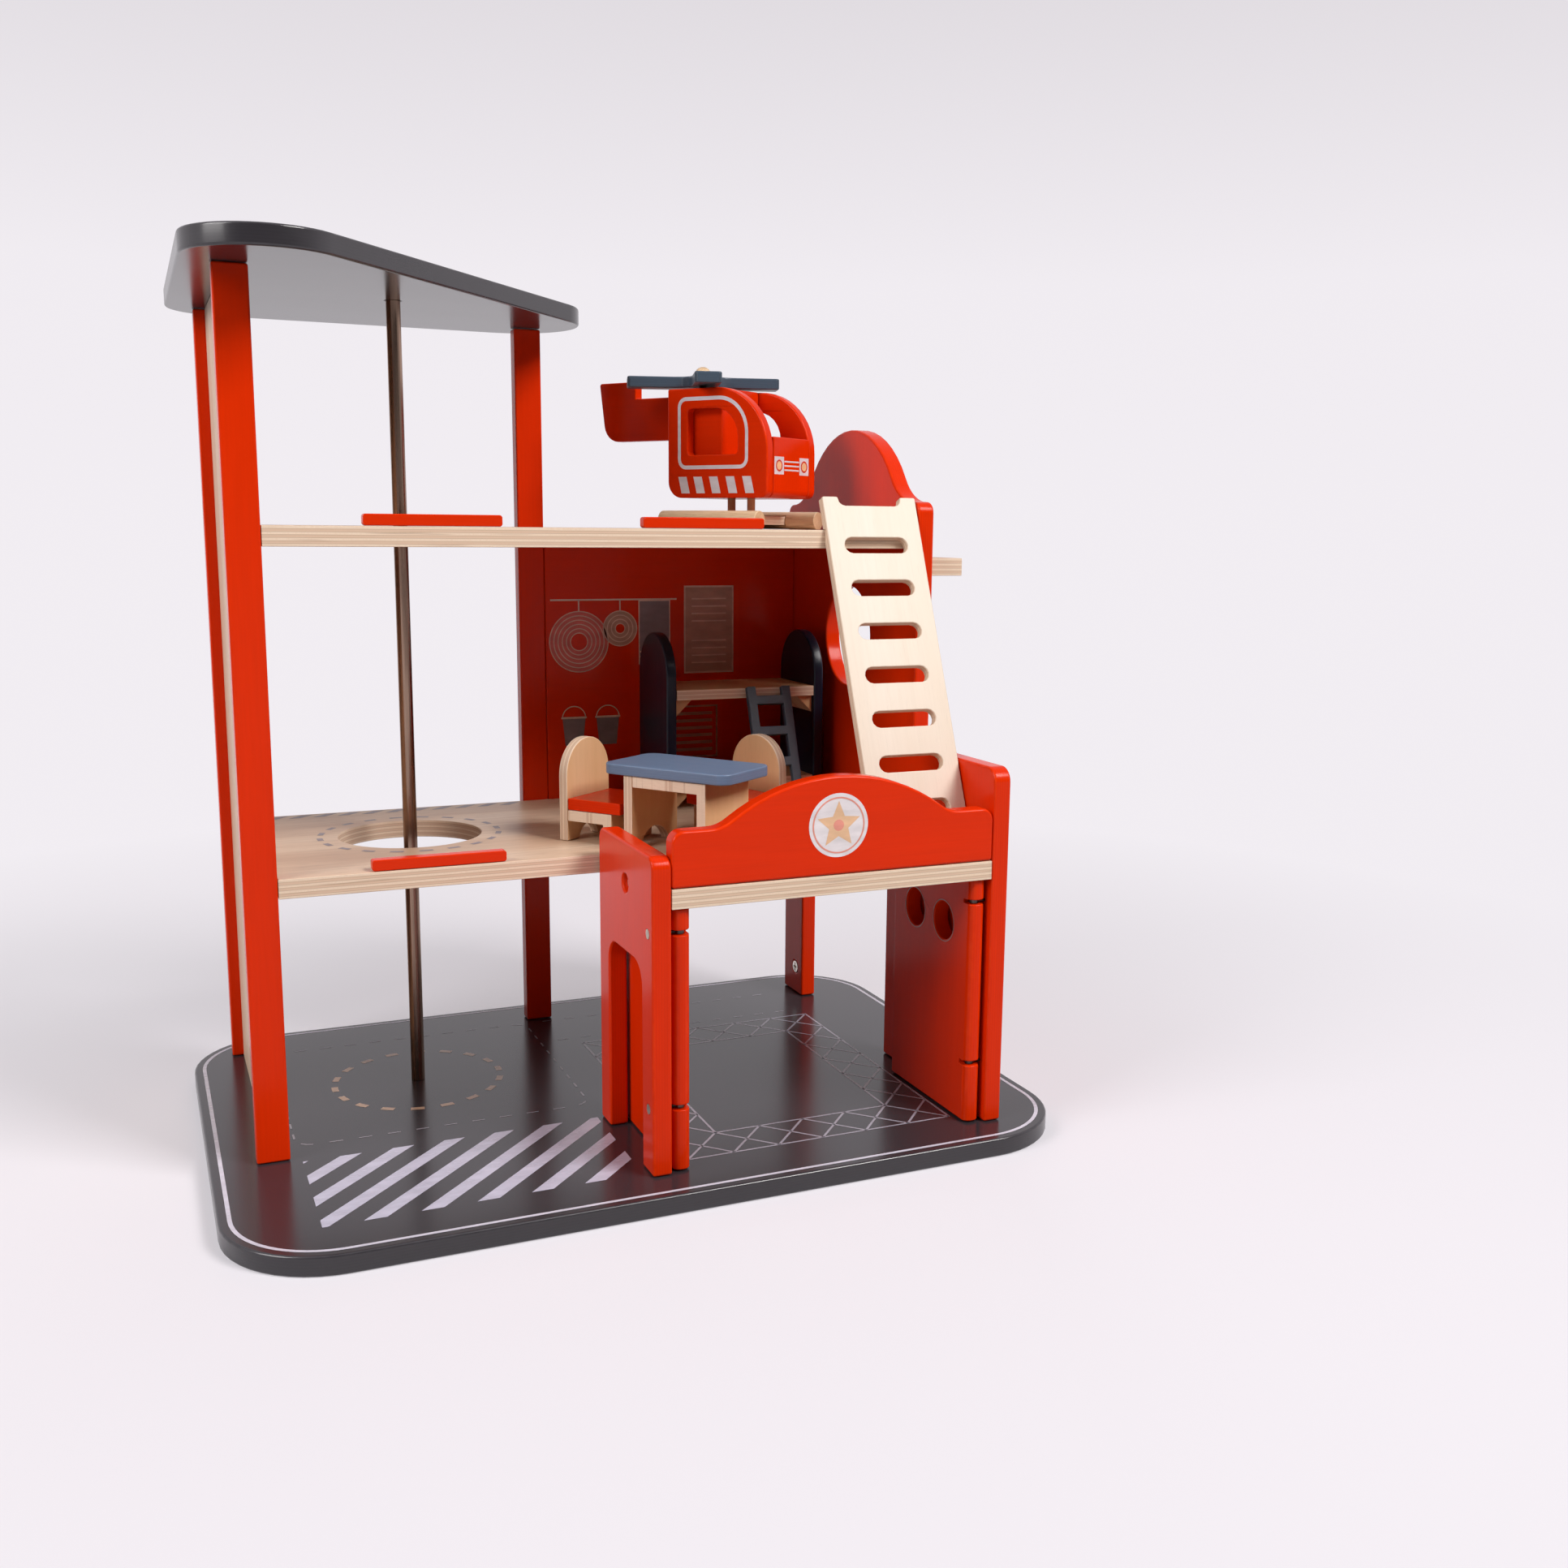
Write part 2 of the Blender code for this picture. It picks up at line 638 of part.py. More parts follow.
def make_leg_nut(wall, station):
    """Round cross-slotted nut let into the inner face of the rear leg."""
    nut_y = STATION_BACK - NUT_FROM_BACK
    pocket = rod_cutter("nut_pocket", (RIGHT_WALL_X - OVERRUN, nut_y, NUT_HEIGHT), "X", NUT_RADIUS + GAP,
                        NUT_DEPTH + OVERRUN, station)
    cut(wall, pocket)
    disc = circle((nut_y, NUT_HEIGHT), NUT_RADIUS)
    nut = board("leg_barrel_nut", [disc], "YZ", RIGHT_WALL_X, "zinc", station, NUT_DEPTH - GAP)
    arm = NUT_RADIUS * CROSS_SHARE
    half = CROSS_WIDTH / 2
    for name, across, up in (("nut_cross_level", arm, half), ("nut_cross_upright", half, arm)):
        bar = rectangle(nut_y - across, NUT_HEIGHT - up, nut_y + across, NUT_HEIGHT + up)
        cut(nut, cutter(name, [bar], "YZ", RIGHT_WALL_X - OVERRUN, CROSS_DEPTH + OVERRUN, station))


def drill_wall(wall, side, outer_x, axis, station):
    """Counterbored holes for the two hinge bolts and the floor screw of one garage wall."""
    sign = 1 if axis == "X" else -1
    start = outer_x - sign * OVERRUN
    holes = [(HINGE_Y, height + SLOT_HEIGHT / 2, SHANK_RADIUS, BOLT_HEAD_RADIUS, COUNTERBORE_DEPTH)
             for height in (LOWER_SLOT_HEIGHT, UPPER_SLOT_HEIGHT)]
    holes.append((GARAGE_FRONT + FLOOR_SCREW_FROM_FRONT, FIRST_FLOOR_UNDER + PLY / 2,
                  FLOOR_SCREW_RADIUS, FLOOR_SCREW_SINK_RADIUS - GAP, FLOOR_SCREW_SINK))
    for i, (y, z, shank, head, sink) in enumerate(holes):
        bore = rod_cutter(side + "_bore_" + str(i), (start, y, z), axis, shank + GAP, PLY + OVERRUN * 2, station,
                          ARC_STEPS * 2)
        counterbore = rod_cutter(side + "_counterbore_" + str(i), (start, y, z), axis, head + GAP, sink + OVERRUN,
                                 station)
        cut(wall, bore)
        cut(wall, counterbore)


def make_left_wall(station):
    """Low red wall on the left of the garage, with a doorway cut up from its foot."""
    back = GARAGE_FRONT + LEFT_WALL_DEPTH
    door_front = GARAGE_FRONT + DOORWAY_INSET
    door_back = door_front + DOORWAY_WIDTH
    points = [(GARAGE_FRONT, GAP), (door_front, GAP), (door_front, DOORWAY_HEIGHT), (door_back, DOORWAY_HEIGHT),
              (door_back, GAP), (back, GAP), (back, LEFT_WALL_HEIGHT), (GARAGE_FRONT, LEFT_WALL_HEIGHT)]
    radii = [0, 0, DOORWAY_CORNER, DOORWAY_CORNER, 0, 0, LEFT_WALL_CORNER, LEFT_WALL_CORNER]
    wall = board("garage_left_wall", [rounded(points, radii)], "YZ", GARAGE_LEFT, "red_paint", station)
    drill_wall(wall, "left", GARAGE_LEFT, "X", station)


def make_trim(station):
    """Back wall, bell-topped parapet, curbs and the ledge outside the right wall."""
    wall = rectangle(MIDDLE_POST_RIGHT + GAP, FIRST_FLOOR_TOP - PLY, RIGHT_WALL_X - GAP, UPPER_FLOOR_TOP)
    board("back_wall", [wall], "XZ", TOWER_BACK, "red_paint", station)
    left = GARAGE_INNER_LEFT + GAP
    right = RIGHT_WALL_X - GAP
    bottom = FIRST_FLOOR_TOP + GAP
    shoulder = FIRST_FLOOR_TOP + PARAPET_SHOULDER
    outline = [(left, bottom), (right, bottom)]
    outline += fillet((right, bottom), (right, shoulder), (left, shoulder), PARAPET_CORNER, ARC_STEPS)
    outline += bell((left + right) / 2, shoulder, PARAPET_RISE, PARAPET_REACH, PARAPET_CREST_RADIUS)
    outline += fillet((right, shoulder), (left, shoulder), (left, bottom), PARAPET_CORNER, ARC_STEPS)
    board("parapet", [outline], "XZ", GARAGE_FRONT, "red_paint", station)
    make_curb("first_floor_curb", FIRST_CURB_LEFT, FIRST_FLOOR_TOP, station)
    make_curb("upper_floor_curb_left", UPPER_CURB_LEFT, UPPER_FLOOR_TOP, station)
    make_curb("upper_floor_curb_right", UPPER_CURB_LEFT + UPPER_CURB_SPACING, UPPER_FLOOR_TOP, station)
    wall_outer = RIGHT_WALL_X + PLY + GAP
    ledge = rectangle(wall_outer, TOWER_FRONT + CURB_DEPTH, wall_outer + LEDGE_REACH,
                      TOWER_FRONT + CURB_DEPTH + LEDGE_DEPTH)
    board("outer_ledge", [ledge], "XY", LEDGE_HEIGHT, "plywood", station)


def make_curb(name, left, floor_top, station):
    """A low strip glued along a floor's front edge."""
    outline = rectangle(left, floor_top + GAP, left + CURB_LENGTH, floor_top + CURB_HEIGHT, CURB_CORNER, 2)
    board(name, [outline], "XZ", TOWER_FRONT, "red_paint", station, CURB_DEPTH)


def make_floor_screws(station):
    """Screws that hold the wing of the first floor between the garage walls."""
    height = FIRST_FLOOR_UNDER + PLY / 2
    y = GARAGE_FRONT + FLOOR_SCREW_FROM_FRONT
    seat = FLOOR_SCREW_SINK - FLOOR_SCREW_HEAD_THICKNESS
    profile = [(0, FLOOR_SCREW_LENGTH), (FLOOR_SCREW_RADIUS / 2, FLOOR_SCREW_LENGTH - FLOOR_SCREW_RADIUS * 2),
               (FLOOR_SCREW_RADIUS, FLOOR_SCREW_LENGTH - FLOOR_SCREW_RADIUS * 4),
               (FLOOR_SCREW_RADIUS, FLOOR_SCREW_HEAD_THICKNESS), (FLOOR_SCREW_HEAD_RADIUS, FLOOR_SCREW_HEAD_THICKNESS),
               (FLOOR_SCREW_HEAD_RADIUS, FLOOR_SCREW_HEAD_THICKNESS / 3),
               (FLOOR_SCREW_HEAD_RADIUS * 2 / 3, 0), (0, 0)]
    turned("left_floor_screw", profile, ROUND_STEPS // 2, "zinc", (GARAGE_LEFT + seat, y, height), "X", station)
    turned("right_floor_screw", profile, ROUND_STEPS // 2, "zinc", (RIGHT_WALL_X + PLY - seat, y, height), "-X",
           station)


# Garage doors: the hardest feature, two leaves on eye bolts and pins

def make_eye_bolt(name, side, height, station):
    """A bolt through the wall whose flat eye stands in the door's slot."""
    sign = 1 if side == "left" else -1
    outer_x = GARAGE_LEFT if side == "left" else RIGHT_WALL_X + PLY
    reach = PLY + HINGE_OFFSET
    eye = circle((outer_x + sign * reach, HINGE_Y), EYE_RADIUS, ROUND_STEPS)
    hole = circle((outer_x + sign * reach, HINGE_Y), PIN_RADIUS + PIN_GAP, ROUND_STEPS // 2)
    bolt = board(name, [eye, hole], "XY", height - EYE_THICKNESS / 2, "zinc", station, EYE_THICKNESS)
    seat = COUNTERBORE_DEPTH - GAP
    head_start = outer_x + sign * (seat - BOLT_HEAD_THICKNESS)
    axis = "X" if side == "left" else "-X"
    shank_end = reach - EYE_RADIUS + SHANK_RADIUS / 2
    shank = rod_cutter(name + "_shank", (head_start + sign * BOLT_HEAD_THICKNESS / 2, HINGE_Y, height), axis,
                       SHANK_RADIUS, shank_end - seat + BOLT_HEAD_THICKNESS / 2, station, ARC_STEPS * 2)
    head = rod_cutter(name + "_head", (head_start, HINGE_Y, height), axis, BOLT_HEAD_RADIUS, BOLT_HEAD_THICKNESS,
                      station)
    cut(bolt, shank, "UNION")
    cut(bolt, head, "UNION")


def make_door(side, station):
    """One leaf with a rounded hinge edge, two slots, two round holes and two hinge pins."""
    sign = 1 if side == "left" else -1
    inner_x = GARAGE_INNER_LEFT if side == "left" else RIGHT_WALL_X
    hinge = empty(side + "_door_hinge", (inner_x + sign * HINGE_OFFSET, HINGE_Y, 0), 0, station)
    half = DOOR_THICKNESS / 2
    front = -HINGE_EDGE
    back = DOOR_LENGTH - HINGE_EDGE
    round_edge = half * HINGE_ROUND_SHARE
    plan = rounded([(-half, front), (half, front), (half, back), (-half, back)], [round_edge, round_edge, 0, 0])
    leaf = board(side + "_door_leaf", [plan], "XY", DOOR_FLOOR_GAP, "red_paint", hinge, DOOR_HEIGHT)
    for i, height in enumerate((LOWER_SLOT_HEIGHT, UPPER_SLOT_HEIGHT)):
        slot = rectangle(-half - OVERRUN, front - OVERRUN, half + OVERRUN, front + SLOT_DEPTH)
        cut(leaf, cutter(side + "_slot_" + str(i), [slot], "XY", height, SLOT_HEIGHT, hinge))
    for i in range(2):
        y = DOOR_HOLE_FROM_HINGE + DOOR_HOLE_SPACING * i
        hole = rod_cutter(side + "_hole_" + str(i), (-half - OVERRUN, y, DOOR_HOLE_HEIGHT), "X", DOOR_HOLE_RADIUS,
                          DOOR_THICKNESS + OVERRUN * 2, hinge)
        cut(leaf, hole)
    make_pin(side + "_door_pin_lower", DOOR_FLOOR_GAP, LOWER_SLOT_HEIGHT + SLOT_HEIGHT + PIN_BITE, leaf, hinge)
    make_pin(side + "_door_pin_upper", UPPER_SLOT_HEIGHT - PIN_BITE, DOOR_FLOOR_GAP + DOOR_HEIGHT, leaf, hinge)


def make_pin(name, bottom, top, leaf, hinge):
    """A steel pin driven into the leaf's end, through the eye in its slot."""
    lower = name.endswith("lower")
    start = bottom - OVERRUN if lower else bottom
    bore = rod_cutter(name + "_bore", (0, 0, start), "Z", PIN_RADIUS + GAP, top - bottom + OVERRUN, hinge,
                      ARC_STEPS * 2)
    cut(leaf, bore)
    first = bottom if lower else bottom + GAP
    rod(name, (0, 0, first), "Z", PIN_RADIUS, top - bottom - GAP, "zinc", hinge, ARC_STEPS * 2)


# Ladders

def lean_matrix(x, y, z, lean):
    """A frame at the foot of a ladder: X across, Y up its length, Z out of its front face."""
    across = Vector((1, 0, 0))
    along = Vector((0, math.sin(lean), math.cos(lean)))
    out = across.cross(along)
    turn = Matrix((across, along, out)).transposed().to_4x4()
    return Matrix.Translation((x, y, z)) @ turn


def leaning_board(name, loops, thickness, matrix, material, parent):
    """A board whose back face lies in the frame's plane."""
    obj = link(extruded(name, loops, thickness), material, parent)
    obj.matrix_local = matrix @ Matrix.Translation((0, 0, thickness / 2))
    return obj


def foot_of_ladder(edge_y, rise, lean, bite):
    """Where a ladder's back face meets the floor, when an edge stands in it by its bite."""
    return edge_y - (rise * math.sin(lean) - bite) / math.cos(lean)


def make_ladder(station):
    """Slotted ladder that hooks over the upper floor's front edge."""
    left = RIGHT_WALL_X - LADDER_WALL_GAP - LADDER_WIDTH
    rise = UPPER_FLOOR_TOP - FIRST_FLOOR_TOP
    foot_y = foot_of_ladder(TOWER_FRONT, rise, LADDER_LEAN, LADDER_BITE)
    rail = empty("ladder_rail", (left, foot_y, FIRST_FLOOR_TOP + GAP), 0, station)
    matrix = lean_matrix(0, 0, 0, LADDER_LEAN)
    horn_end = LADDER_WIDTH - HORN_WIDTH
    low = LADDER_LENGTH - HORN_HEIGHT
    points = [(0, 0), (LADDER_WIDTH, 0), (LADDER_WIDTH, LADDER_LENGTH), (horn_end, LADDER_LENGTH), (horn_end, low),
              (HORN_WIDTH, low), (HORN_WIDTH, LADDER_LENGTH), (0, LADDER_LENGTH)]
    small = LADDER_CORNER / 4
    radii = [0, 0, small, small, LADDER_CORNER, LADDER_CORNER, small, small]
    loops = [rounded(points, radii, ARC_STEPS // 2)]
    for i in range(SLOT_COUNT):
        loops.append(stadium((LADDER_WIDTH / 2, RUNG_FIRST + RUNG_PITCH * i), RUNG_SLOT_WIDTH, RUNG_SLOT_HEIGHT))
    ladder = leaning_board("leaning_ladder", loops, LADDER_THICKNESS, matrix, "plywood", rail)
    edge = rectangle(-OVERRUN, TOWER_FRONT - foot_y - GAP, LADDER_WIDTH + OVERRUN,
                     TOWER_FRONT - foot_y + LADDER_THICKNESS * 2)
    notch = cutter("ladder_notch", [edge], "XY", rise - PLY - GAP * 2, PLY + GAP * 2, rail)
    cut(ladder, notch)


# Bunk bed

def make_bunk(station):
    """Two round-topped end boards, two platforms on triangular brackets, and a hooked ladder."""
    bunk = empty("bunk_place", (BUNK_LEFT, BUNK_FRONT, FIRST_FLOOR_TOP + GAP), 0, station)
    radius = BUNK_DEPTH / 2 - GAP
    corners = [(0, 0), (BUNK_DEPTH, 0), (BUNK_DEPTH, BUNK_HEIGHT), (0, BUNK_HEIGHT)]
    end = rounded(corners, [0, 0, radius, radius], ARC_STEPS * 2)
    right = BUNK_BOARD + BUNK_INNER_LENGTH
    board("bunk_left_end", [end], "YZ", 0, "navy_paint", bunk, BUNK_BOARD)
    board("bunk_right_end", [end], "YZ", right, "navy_paint", bunk, BUNK_BOARD)
    inner_left = BUNK_BOARD + GAP
    inner_right = right - GAP
    deck = rectangle(inner_left, 0, inner_right, BUNK_DEPTH)
    for level, top in (("upper", BUNK_UPPER_TOP), ("lower", BUNK_LOWER_TOP)):
        under = top - BUNK_PLATFORM_THICKNESS
        board("bunk_" + level + "_deck", [deck], "XY", under, "plywood", bunk, BUNK_PLATFORM_THICKNESS)
        make_bracket("bunk_" + level + "_bracket_left", inner_left, 1, under - GAP, bunk)
        make_bracket("bunk_" + level + "_bracket_right", inner_right, -1, under - GAP, bunk)
    make_bunk_ladder(bunk)


def make_bracket(name, x, sign, top, bunk):
    """A triangular block in the corner under a platform."""
    tip = [(x, top), (x, top - BRACKET_SIZE), (x + sign * BRACKET_SIZE, top)]
    board(name, [tip], "XZ", (BUNK_DEPTH - BRACKET_DEPTH) / 4, "plywood", bunk, BRACKET_DEPTH)


def make_bunk_ladder(bunk):
    """Slate ladder that leans on the upper platform's front edge."""
    foot_y = foot_of_ladder(-GAP, BUNK_UPPER_TOP, BUNK_LADDER_LEAN, 0)
    place = (BUNK_LADDER_LEFT - BUNK_LEFT, foot_y, 0)
    rail = empty("bunk_ladder_rail", place, 0, bunk)
    width = BUNK_LADDER_WIDTH
    left = BUNK_LADDER_RAIL
    right = width - BUNK_LADDER_RAIL
    length = BUNK_UPPER_TOP / math.cos(BUNK_LADDER_LEAN)
    crossbar = length - BUNK_LADDER_HORN
    loops = [[(0, 0), (left, 0), (left, BUNK_LADDER_FOOT), (right, BUNK_LADDER_FOOT), (right, 0), (width, 0),
              (width, length), (right, length), (right, crossbar), (left, crossbar), (left, length), (0, length)]]
    first = BUNK_LADDER_FOOT + BUNK_RUNG
    pitch = (crossbar - first) / BUNK_WINDOW_COUNT
    for i in range(BUNK_WINDOW_COUNT):
        bottom = first + pitch * i
        loops.append(rectangle(left, bottom, right, bottom + pitch - BUNK_RUNG))
    matrix = lean_matrix(0, 0, 0, BUNK_LADDER_LEAN)
    leaning_board("bunk_ladder", loops, BUNK_LADDER_THICKNESS, matrix, "slate_paint", rail)


# Table and chairs

def arched_panel(width, height, arch_width, arch_height, top_radius=0):
    """A leg panel with an arch in its foot, centred on its width."""
    half = width / 2
    arch = segment_arch(arch_width, arch_height, ARC_STEPS * 2)
    foot = [(-half, 0)] + arch[::-1] + [(half, 0)]
    if top_radius == 0:
        return foot + [(half, height), (-half, height)]
    right = fillet((half, 0), (half, height), (-half, height), top_radius, ARC_STEPS * 2)
    left = fillet((half, height), (-half, height), (-half, 0), top_radius, ARC_STEPS * 2)
    return foot + right + left


def make_table(station):
    """Slate table top on two arched panels, joined by a board under the top."""
    table = empty("table_place", (TABLE_X, TABLE_Y, FIRST_FLOOR_TOP + GAP), TABLE_TURN, station)
    half_length = TABLE_LENGTH / 2
    half_width = TABLE_WIDTH / 2
    under = TABLE_HEIGHT - TABLE_TOP_THICKNESS
    top = rectangle(-half_length, -half_width, half_length, half_width, TABLE_TOP_CORNER)
    board("table_top", [top], "XY", under, "slate_paint", table, TABLE_TOP_THICKNESS)
    leg_width = TABLE_WIDTH - TABLE_LEG_INSET * 2
    leg = arched_panel(leg_width, under - GAP, TABLE_ARCH_WIDTH, TABLE_ARCH_HEIGHT)
    outer = half_length - TABLE_OVERHANG
    board("table_leg_left", [leg], "YZ", -outer, "plywood", table, FURNITURE_PLY)
    right_leg = board("table_leg_right", [leg], "YZ", outer - FURNITURE_PLY, "plywood", table, FURNITURE_PLY)
    inner = outer - FURNITURE_PLY
    spacer = rectangle(-inner + GAP, -leg_width / 2, inner + FURNITURE_PLY / 2, leg_width / 2)
    shelf = cutter("table_spacer", [spacer], "XY", under - GAP - FURNITURE_RAIL, FURNITURE_RAIL, table)
    cut(right_leg, shelf, "UNION")


def make_chair(side, x, y, turn, station):
    """Round-backed chair with a red seat."""
    chair = empty(side + "_chair_place", (x, y, FIRST_FLOOR_TOP + GAP), turn, station)
    back = arched_panel(CHAIR_WIDTH, CHAIR_HEIGHT, CHAIR_ARCH_WIDTH, CHAIR_ARCH_HEIGHT, CHAIR_WIDTH / 2 - GAP)
    board(side + "_chair_back", [back], "YZ", 0, "plywood", chair, FURNITURE_PLY)
    seat_front = FURNITURE_PLY + GAP + CHAIR_SEAT_DEPTH
    half = CHAIR_WIDTH / 2
    seat = rectangle(FURNITURE_PLY + GAP, -half, seat_front, half)
    seat_under = CHAIR_SEAT_TOP - CHAIR_SEAT_THICKNESS
    board(side + "_chair_seat", [seat], "XY", seat_under, "red_paint", chair, CHAIR_SEAT_THICKNESS)
    leg_back = seat_front - CHAIR_SEAT_OVERHANG - FURNITURE_PLY
    leg = arched_panel(CHAIR_WIDTH, seat_under - GAP, CHAIR_ARCH_WIDTH, CHAIR_ARCH_HEIGHT)
    frame = board(side + "_chair_underframe", [leg], "YZ", leg_back, "plywood", chair, FURNITURE_PLY)
    spacer = rectangle(FURNITURE_PLY + GAP, -half, leg_back + FURNITURE_PLY / 2, half)
    shelf = cutter(side + "_chair_spacer", [spacer], "XY", seat_under - GAP - FURNITURE_RAIL, FURNITURE_RAIL, chair)
    cut(frame, shelf, "UNION")


# Helicopter

def heli_side_outline():
    """Side panel: square tail end, rounded foot and a long curve over the cabin."""
    half = HELI_BODY_LENGTH / 2
    points = [(-half, 0), (half, 0), (half, HELI_BODY_HEIGHT), (-half, HELI_BODY_HEIGHT)]
    radii = [HELI_CORNER, HELI_CORNER / 2, HELI_NOSE_RADIUS, 0]
    return rounded(points, radii, ARC_STEPS * 2)


def heli_window():
    """Cabin window with the nose's curve in its upper front corner."""
    left = -HELI_BODY_LENGTH / 2 + HELI_WINDOW_INSET
    right = left + HELI_WINDOW_WIDTH
    top = HELI_WINDOW_BOTTOM + HELI_WINDOW_HEIGHT
    points = [(left, HELI_WINDOW_BOTTOM), (right, HELI_WINDOW_BOTTOM), (right, top), (left, top)]
    radii = [HELI_WINDOW_CORNER, HELI_WINDOW_CORNER, HELI_WINDOW_NOSE, HELI_WINDOW_CORNER]
    return rounded(points, radii)


def heli_core_outline():
    """Core block: solid at the rear, a low nose in front, the cabin open between them."""
    half = HELI_BODY_LENGTH / 2
    rear_front = -half + HELI_REAR_BLOCK
    nose_back = half - HELI_NOSE_LENGTH
    points = [(-half, 0), (half, 0), (half, HELI_NOSE_HEIGHT), (nose_back, HELI_NOSE_HEIGHT),
              (nose_back, HELI_CABIN_FLOOR), (rear_front, HELI_CABIN_FLOOR), (rear_front, HELI_BODY_HEIGHT),
              (-half, HELI_BODY_HEIGHT)]
    return rounded(points, [HELI_CORNER, HELI_CORNER / 2, 0, 0, 0, 0, 0, 0], ARC_STEPS * 2)


def heli_tail_outline():
    """Tail plate with a raised fin, a slanted end and a round lower corner."""
    root = -HELI_BODY_LENGTH / 2 + TAIL_TENON
    end = -HELI_BODY_LENGTH / 2 - TAIL_REACH
    boom_top = TAIL_BOTTOM + TAIL_BOOM_HEIGHT
    fin_top = boom_top + TAIL_FIN_RISE
    points = [(end + TAIL_FIN_SLANT, TAIL_BOTTOM), (root, TAIL_BOTTOM), (root, boom_top),
              (end + TAIL_FIN_LENGTH, boom_top), (end + TAIL_FIN_LENGTH, fin_top), (end, fin_top)]
    return rounded(points, [TAIL_CORNER, 0, 0, 0, 0, ROTOR_TIP_CORNER])


def make_heli_body(heli):
    """Two side panels on a core that is open at the cabin, and the tail in the core's groove."""
    half_core = HELI_CORE_WIDTH / 2
    sides = [heli_side_outline(), heli_window()]
    for name, face in (("heli_near_side", -half_core - GAP - HELI_SIDE_THICKNESS), ("heli_far_side", half_core + GAP)):
        side = board(name, sides, "XZ", face, "red_paint", heli, HELI_SIDE_THICKNESS)
        side.location.z += HELI_BODY_BOTTOM
    core = board("heli_core", [heli_core_outline()], "XZ", -half_core, "red_paint", heli, HELI_CORE_WIDTH)
    core.location.z += HELI_BODY_BOTTOM
    rear = -HELI_BODY_LENGTH / 2
    groove_half = TAIL_THICKNESS / 2 + GAP
    groove = rectangle(rear - OVERRUN, -groove_half, rear + TAIL_TENON + GAP, groove_half)
    groove_bottom = HELI_BODY_BOTTOM + TAIL_BOTTOM - GAP
    cut(core, cutter("tail_groove", [groove], "XY", groove_bottom, TAIL_BOOM_HEIGHT + GAP * 2, heli))
    tail = board("heli_tail", [heli_tail_outline()], "XZ", -TAIL_THICKNESS / 2, "red_paint", heli, TAIL_THICKNESS)
    tail.location.z += HELI_BODY_BOTTOM
    return core


def make_skids(heli, core):
    """Two round runners flattened below, a deck let in between them and two dowel struts."""
    half = SKID_SPACING / 2
    deck_half = half - SKID_RADIUS + SKID_BITE
    for name, side in (("heli_near_skid", -1), ("heli_far_skid", 1)):
        y = half * side
        skid = rod(name, (-SKID_LENGTH / 2, y, SKID_RADIUS - SKID_FLAT), "X", SKID_RADIUS, SKID_LENGTH, "plywood", heli)
        under = rectangle(-SKID_LENGTH, y - half, SKID_LENGTH, y + half)
        cut(skid, cutter(name + "_under", [under], "XY", -SKID_RADIUS, SKID_RADIUS, heli))
        inner = sorted([0, (deck_half + GAP) * side])
        seat = rectangle(-DECK_LENGTH / 2 - GAP, inner[0], DECK_LENGTH / 2 + GAP, inner[1])
        cut(skid, cutter(name + "_seat", [seat], "XY", DECK_HEIGHT - GAP, DECK_THICKNESS + GAP * 2, heli))
    plan = rectangle(-DECK_LENGTH / 2, -deck_half, DECK_LENGTH / 2, deck_half)
    deck = board("heli_deck", [plan], "XY", DECK_HEIGHT, "plywood", heli, DECK_THICKNESS)
    bottom = DECK_HEIGHT + DECK_THICKNESS / 4
    length = HELI_BODY_BOTTOM + STRUT_SOCKET - bottom
    for name, x in (("heli_rear_strut", -STRUT_SPACING / 2), ("heli_front_strut", STRUT_SPACING / 2)):
        bore = rod_cutter(name + "_bore", (x, 0, bottom - GAP), "Z", STRUT_RADIUS + GAP, length + GAP * 2, heli)
        cut(deck, bore)
        cut(core, bore)
        rod(name, (x, 0, bottom), "Z", STRUT_RADIUS, length, "plywood", heli)


def rotor_outline():
    """A cross of two straight blades with hollow fillets where they meet."""
    half_length = ROTOR_LENGTH / 2
    half_width = ROTOR_WIDTH / 2
    outline = []
    radii = []
    for quarter in range(4):
        turn = Matrix.Rotation(quarter * math.pi / 2, 2)
        for u, v in ((half_length, -half_width), (half_length, half_width), (half_width, half_width)):
            outline.append(tuple(turn @ Vector((u, v))))
        radii += [ROTOR_TIP_CORNER, ROTOR_TIP_CORNER, ROTOR_HUB_FILLET]
    return rounded(outline, radii, ARC_STEPS // 2)


def make_rotor(heli, core):
    """Cross of two blades that spins on a turned pin."""
    top = HELI_BODY_BOTTOM + HELI_BODY_HEIGHT
    hub = empty("rotor_axis", (ROTOR_FROM_REAR - HELI_BODY_LENGTH / 2, 0, top + ROTOR_LIFT), ROTOR_TURN, heli)
    hole = circle((0, 0), ROTOR_PIN_RADIUS + PIN_GAP)
    board("heli_rotor", [rotor_outline(), hole], "XY", 0, "slate_paint", hub, ROTOR_THICKNESS)
    cap = ROTOR_THICKNESS + GAP
    dome = arc((0, 0), 1, math.pi / 2, 0, ARC_STEPS)
    flat = cap + ROTOR_CAP_HEIGHT / 4
    profile = [(ROTOR_CAP_RADIUS * u, flat + (ROTOR_CAP_HEIGHT * 3 / 4) * v) for u, v in dome]
    profile[0] = (0, profile[0][1])
    pin_end = -ROTOR_LIFT - ROTOR_PIN_DEPTH
    profile += [(ROTOR_CAP_RADIUS, cap), (ROTOR_PIN_RADIUS, cap), (ROTOR_PIN_RADIUS, pin_end + GAP), (0, pin_end + GAP)]
    turned("heli_rotor_pin", profile, ROUND_STEPS, "plywood", (0, 0, 0), "Z", hub)
    bore = rod_cutter("rotor_bore", (0, 0, pin_end), "Z", ROTOR_PIN_RADIUS + GAP, ROTOR_PIN_DEPTH + OVERRUN, hub)
    cut(core, bore)


